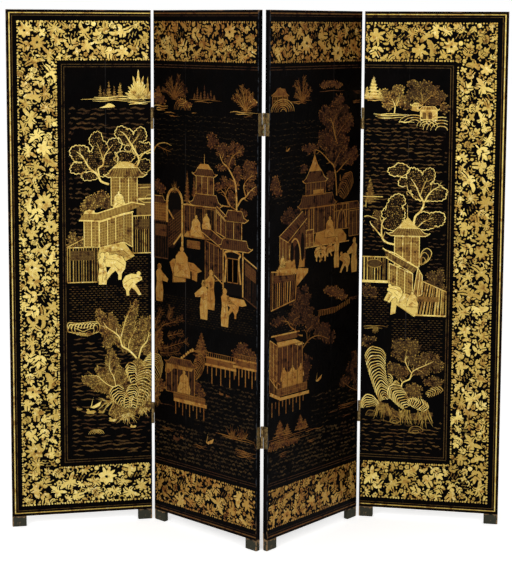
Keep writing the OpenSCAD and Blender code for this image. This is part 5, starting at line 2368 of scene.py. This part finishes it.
# Later parts of one layer lie over earlier ones.
PICTURE_PARTS = (
    far_shore_1, far_shore_2, far_shore_3, far_shore_4, far_village, forked_tree, spreading_tree,
    tower_tree, bank_trees, left_house, left_terrace, left_walkers, moon_gate, middle_hall,
    middle_pavilion, middle_walkers, right_hall, right_terrace, right_walkers, right_bank, garden_house,
    garden_fences, garden_bench, garden_pines, lake_rocks, lake_walk, stilt_house, weeping_tree,
    lake_pavilion, low_shores, garden_tree, garden_rocks, near_birds,
)


def make_picture(finishes, water):
    strokes = [ripple(bends) for bends in RIPPLE_BENDS] + [list(box(-0.5, 0.5, -0.5, 0.5))]
    motifs = motif_collection("water_motif", [motif_relief([shape], WATER_RISE) for shape in strokes])
    for leaf in LEAVES:
        seed = WATER_TONE_SEED + leaf
        set_out(f"gilt_water_{leaf}", water_spots(leaf), motifs, water[leaf], leaf, seed, WATER_TONE_SPREAD)
    pen.start()
    for part in PICTURE_PARTS:
        part()
    pen.put("gilt_picture", finishes)


# ---------------------------------------------------------------- the backs


def bough(points, width, reach, tone, seed):
    """A bough with narrow leaves to both sides and a few five-petalled blossoms."""
    chance = random.Random(seed)
    line = smooth(points, 5)
    stroke(line, width, tone, 1, (1.0, 0.3))
    for i in range(3, len(line) - 1, 2):
        way = math.atan2(line[i + 1][1] - line[i - 1][1], line[i + 1][0] - line[i - 1][0])
        side = 1 if i % 4 == 3 else -1
        turn = way + side * chance.uniform(0.5, 1.1)
        length = reach * chance.uniform(0.7, 1.2)
        leaf = turned_points(leaf_shape(length, length * 0.3), turn, line[i])
        fill(leaf, tone - chance.uniform(0, 0.15), 1)
        if chance.random() < 0.35:
            heart = turned_points([(reach * 0.55, 0)], way - side * 0.9, line[i])[0]
            first = chance.uniform(0, 1)
            for angle in angles(5):
                shape = petal(11, 10, angle + first, 1)
                fill([(heart[0] + x, heart[1] + z) for x, z in shape], tone + 0.12, 2)
            dab(heart, 2.6, 0.2, chance, 3)


BACK_BOUGHS = (
    # The boughs of each leaf of the back, left to right as seen from behind, the main one first.
    (
        ((120, 420), (180, 620), (150, 820), (250, 1010)),
        ((170, 640), (280, 740), (330, 860)),
        ((160, 820), (90, 940)),
    ),
    (
        ((360, 400), (300, 560), (340, 720), (260, 860)),
        ((310, 580), (210, 650), (150, 770)),
        ((330, 700), (420, 800)),
    ),
    (
        ((140, 410), (200, 560), (170, 700), (260, 800)),
        ((180, 600), (290, 640), (380, 740)),
        ((170, 700), (90, 790)),
    ),
    (
        ((380, 420), (320, 640), (360, 840), (250, 1040)),
        ((330, 640), (210, 730), (160, 850)),
        ((350, 820), (420, 950)),
    ),
)
BACK_ROCKS = (
    ((80, -30, 22), (74, -60, 30), (66, -96, 26)),
    ((-56, 10, 26), (-50, -30, 34), (-38, -90, 30)),
    ((20, 20, 28), (24, -24, 34), (10, -100, 36)),
)


def make_back(finishes):
    """Not seen in the photograph: thin lines and a few boughs over rocks, as backs commonly have."""
    pen.start()
    frame_line(GOLD_LINE_AT, (3.0, 2.4), (0.62, 0.55, 0.45))
    frame_line(FILLETS_AT[0], (FILLET_W, FILLET_W), (0.3, 0.3, 0.25))
    for place, boughs in enumerate(BACK_BOUGHS):
        start = place * LEAF_W
        foot = boughs[0][0]
        for i, lump in enumerate(BACK_ROCKS):
            crag([(start + foot[0] + x, foot[1] + z, half) for x, z, half in lump], 0.55, 9, 3.2, 2 * i)
        for i, points in enumerate(boughs):
            pen.layer = 3
            bough([(start + x, z) for x, z in points], 6.5 - 2 * (i > 0), 42, 0.55, 10 * place + i)
        pen.layer = 0
        for i in range(2):
            winged(start + 190 + 90 * i + 20 * place, 1240 + 55 * i + 30 * (place % 2), 30 - 8 * i, 0.6)
    pen.put("gilt_back", finishes, True)


# ---------------------------------------------------------------- all of it

bpy.context.scene.view_settings.view_transform = "Standard"
make_camera()
make_world()
make_floor()
for lamp_name, lamp_at, lamp_power in LAMPS:
    make_lamp(lamp_name, lamp_at, lamp_power)
dress_cad()

# The inner leaves' warmer gilt is painted shade and reflection.
BORDER_FINISH = leaf_gildings("border_gilt", 0.1, 0.62, 0.25)
make_border(BORDER_FINISH)
make_lines(BORDER_FINISH)
# Here too the inner leaves' warmer gilt is painted shade and reflection.
PICTURE_FINISH = leaf_gildings("picture_gilt", 0.15, 0.85, 0.3)
WATER_FINISH = leaf_gildings("water_gilt", 0.25, 0.0, 0.3)
make_picture(PICTURE_FINISH, WATER_FINISH)
make_back(dict.fromkeys(LEAVES, gilding("back_gilt", 0.6, 0.45)))
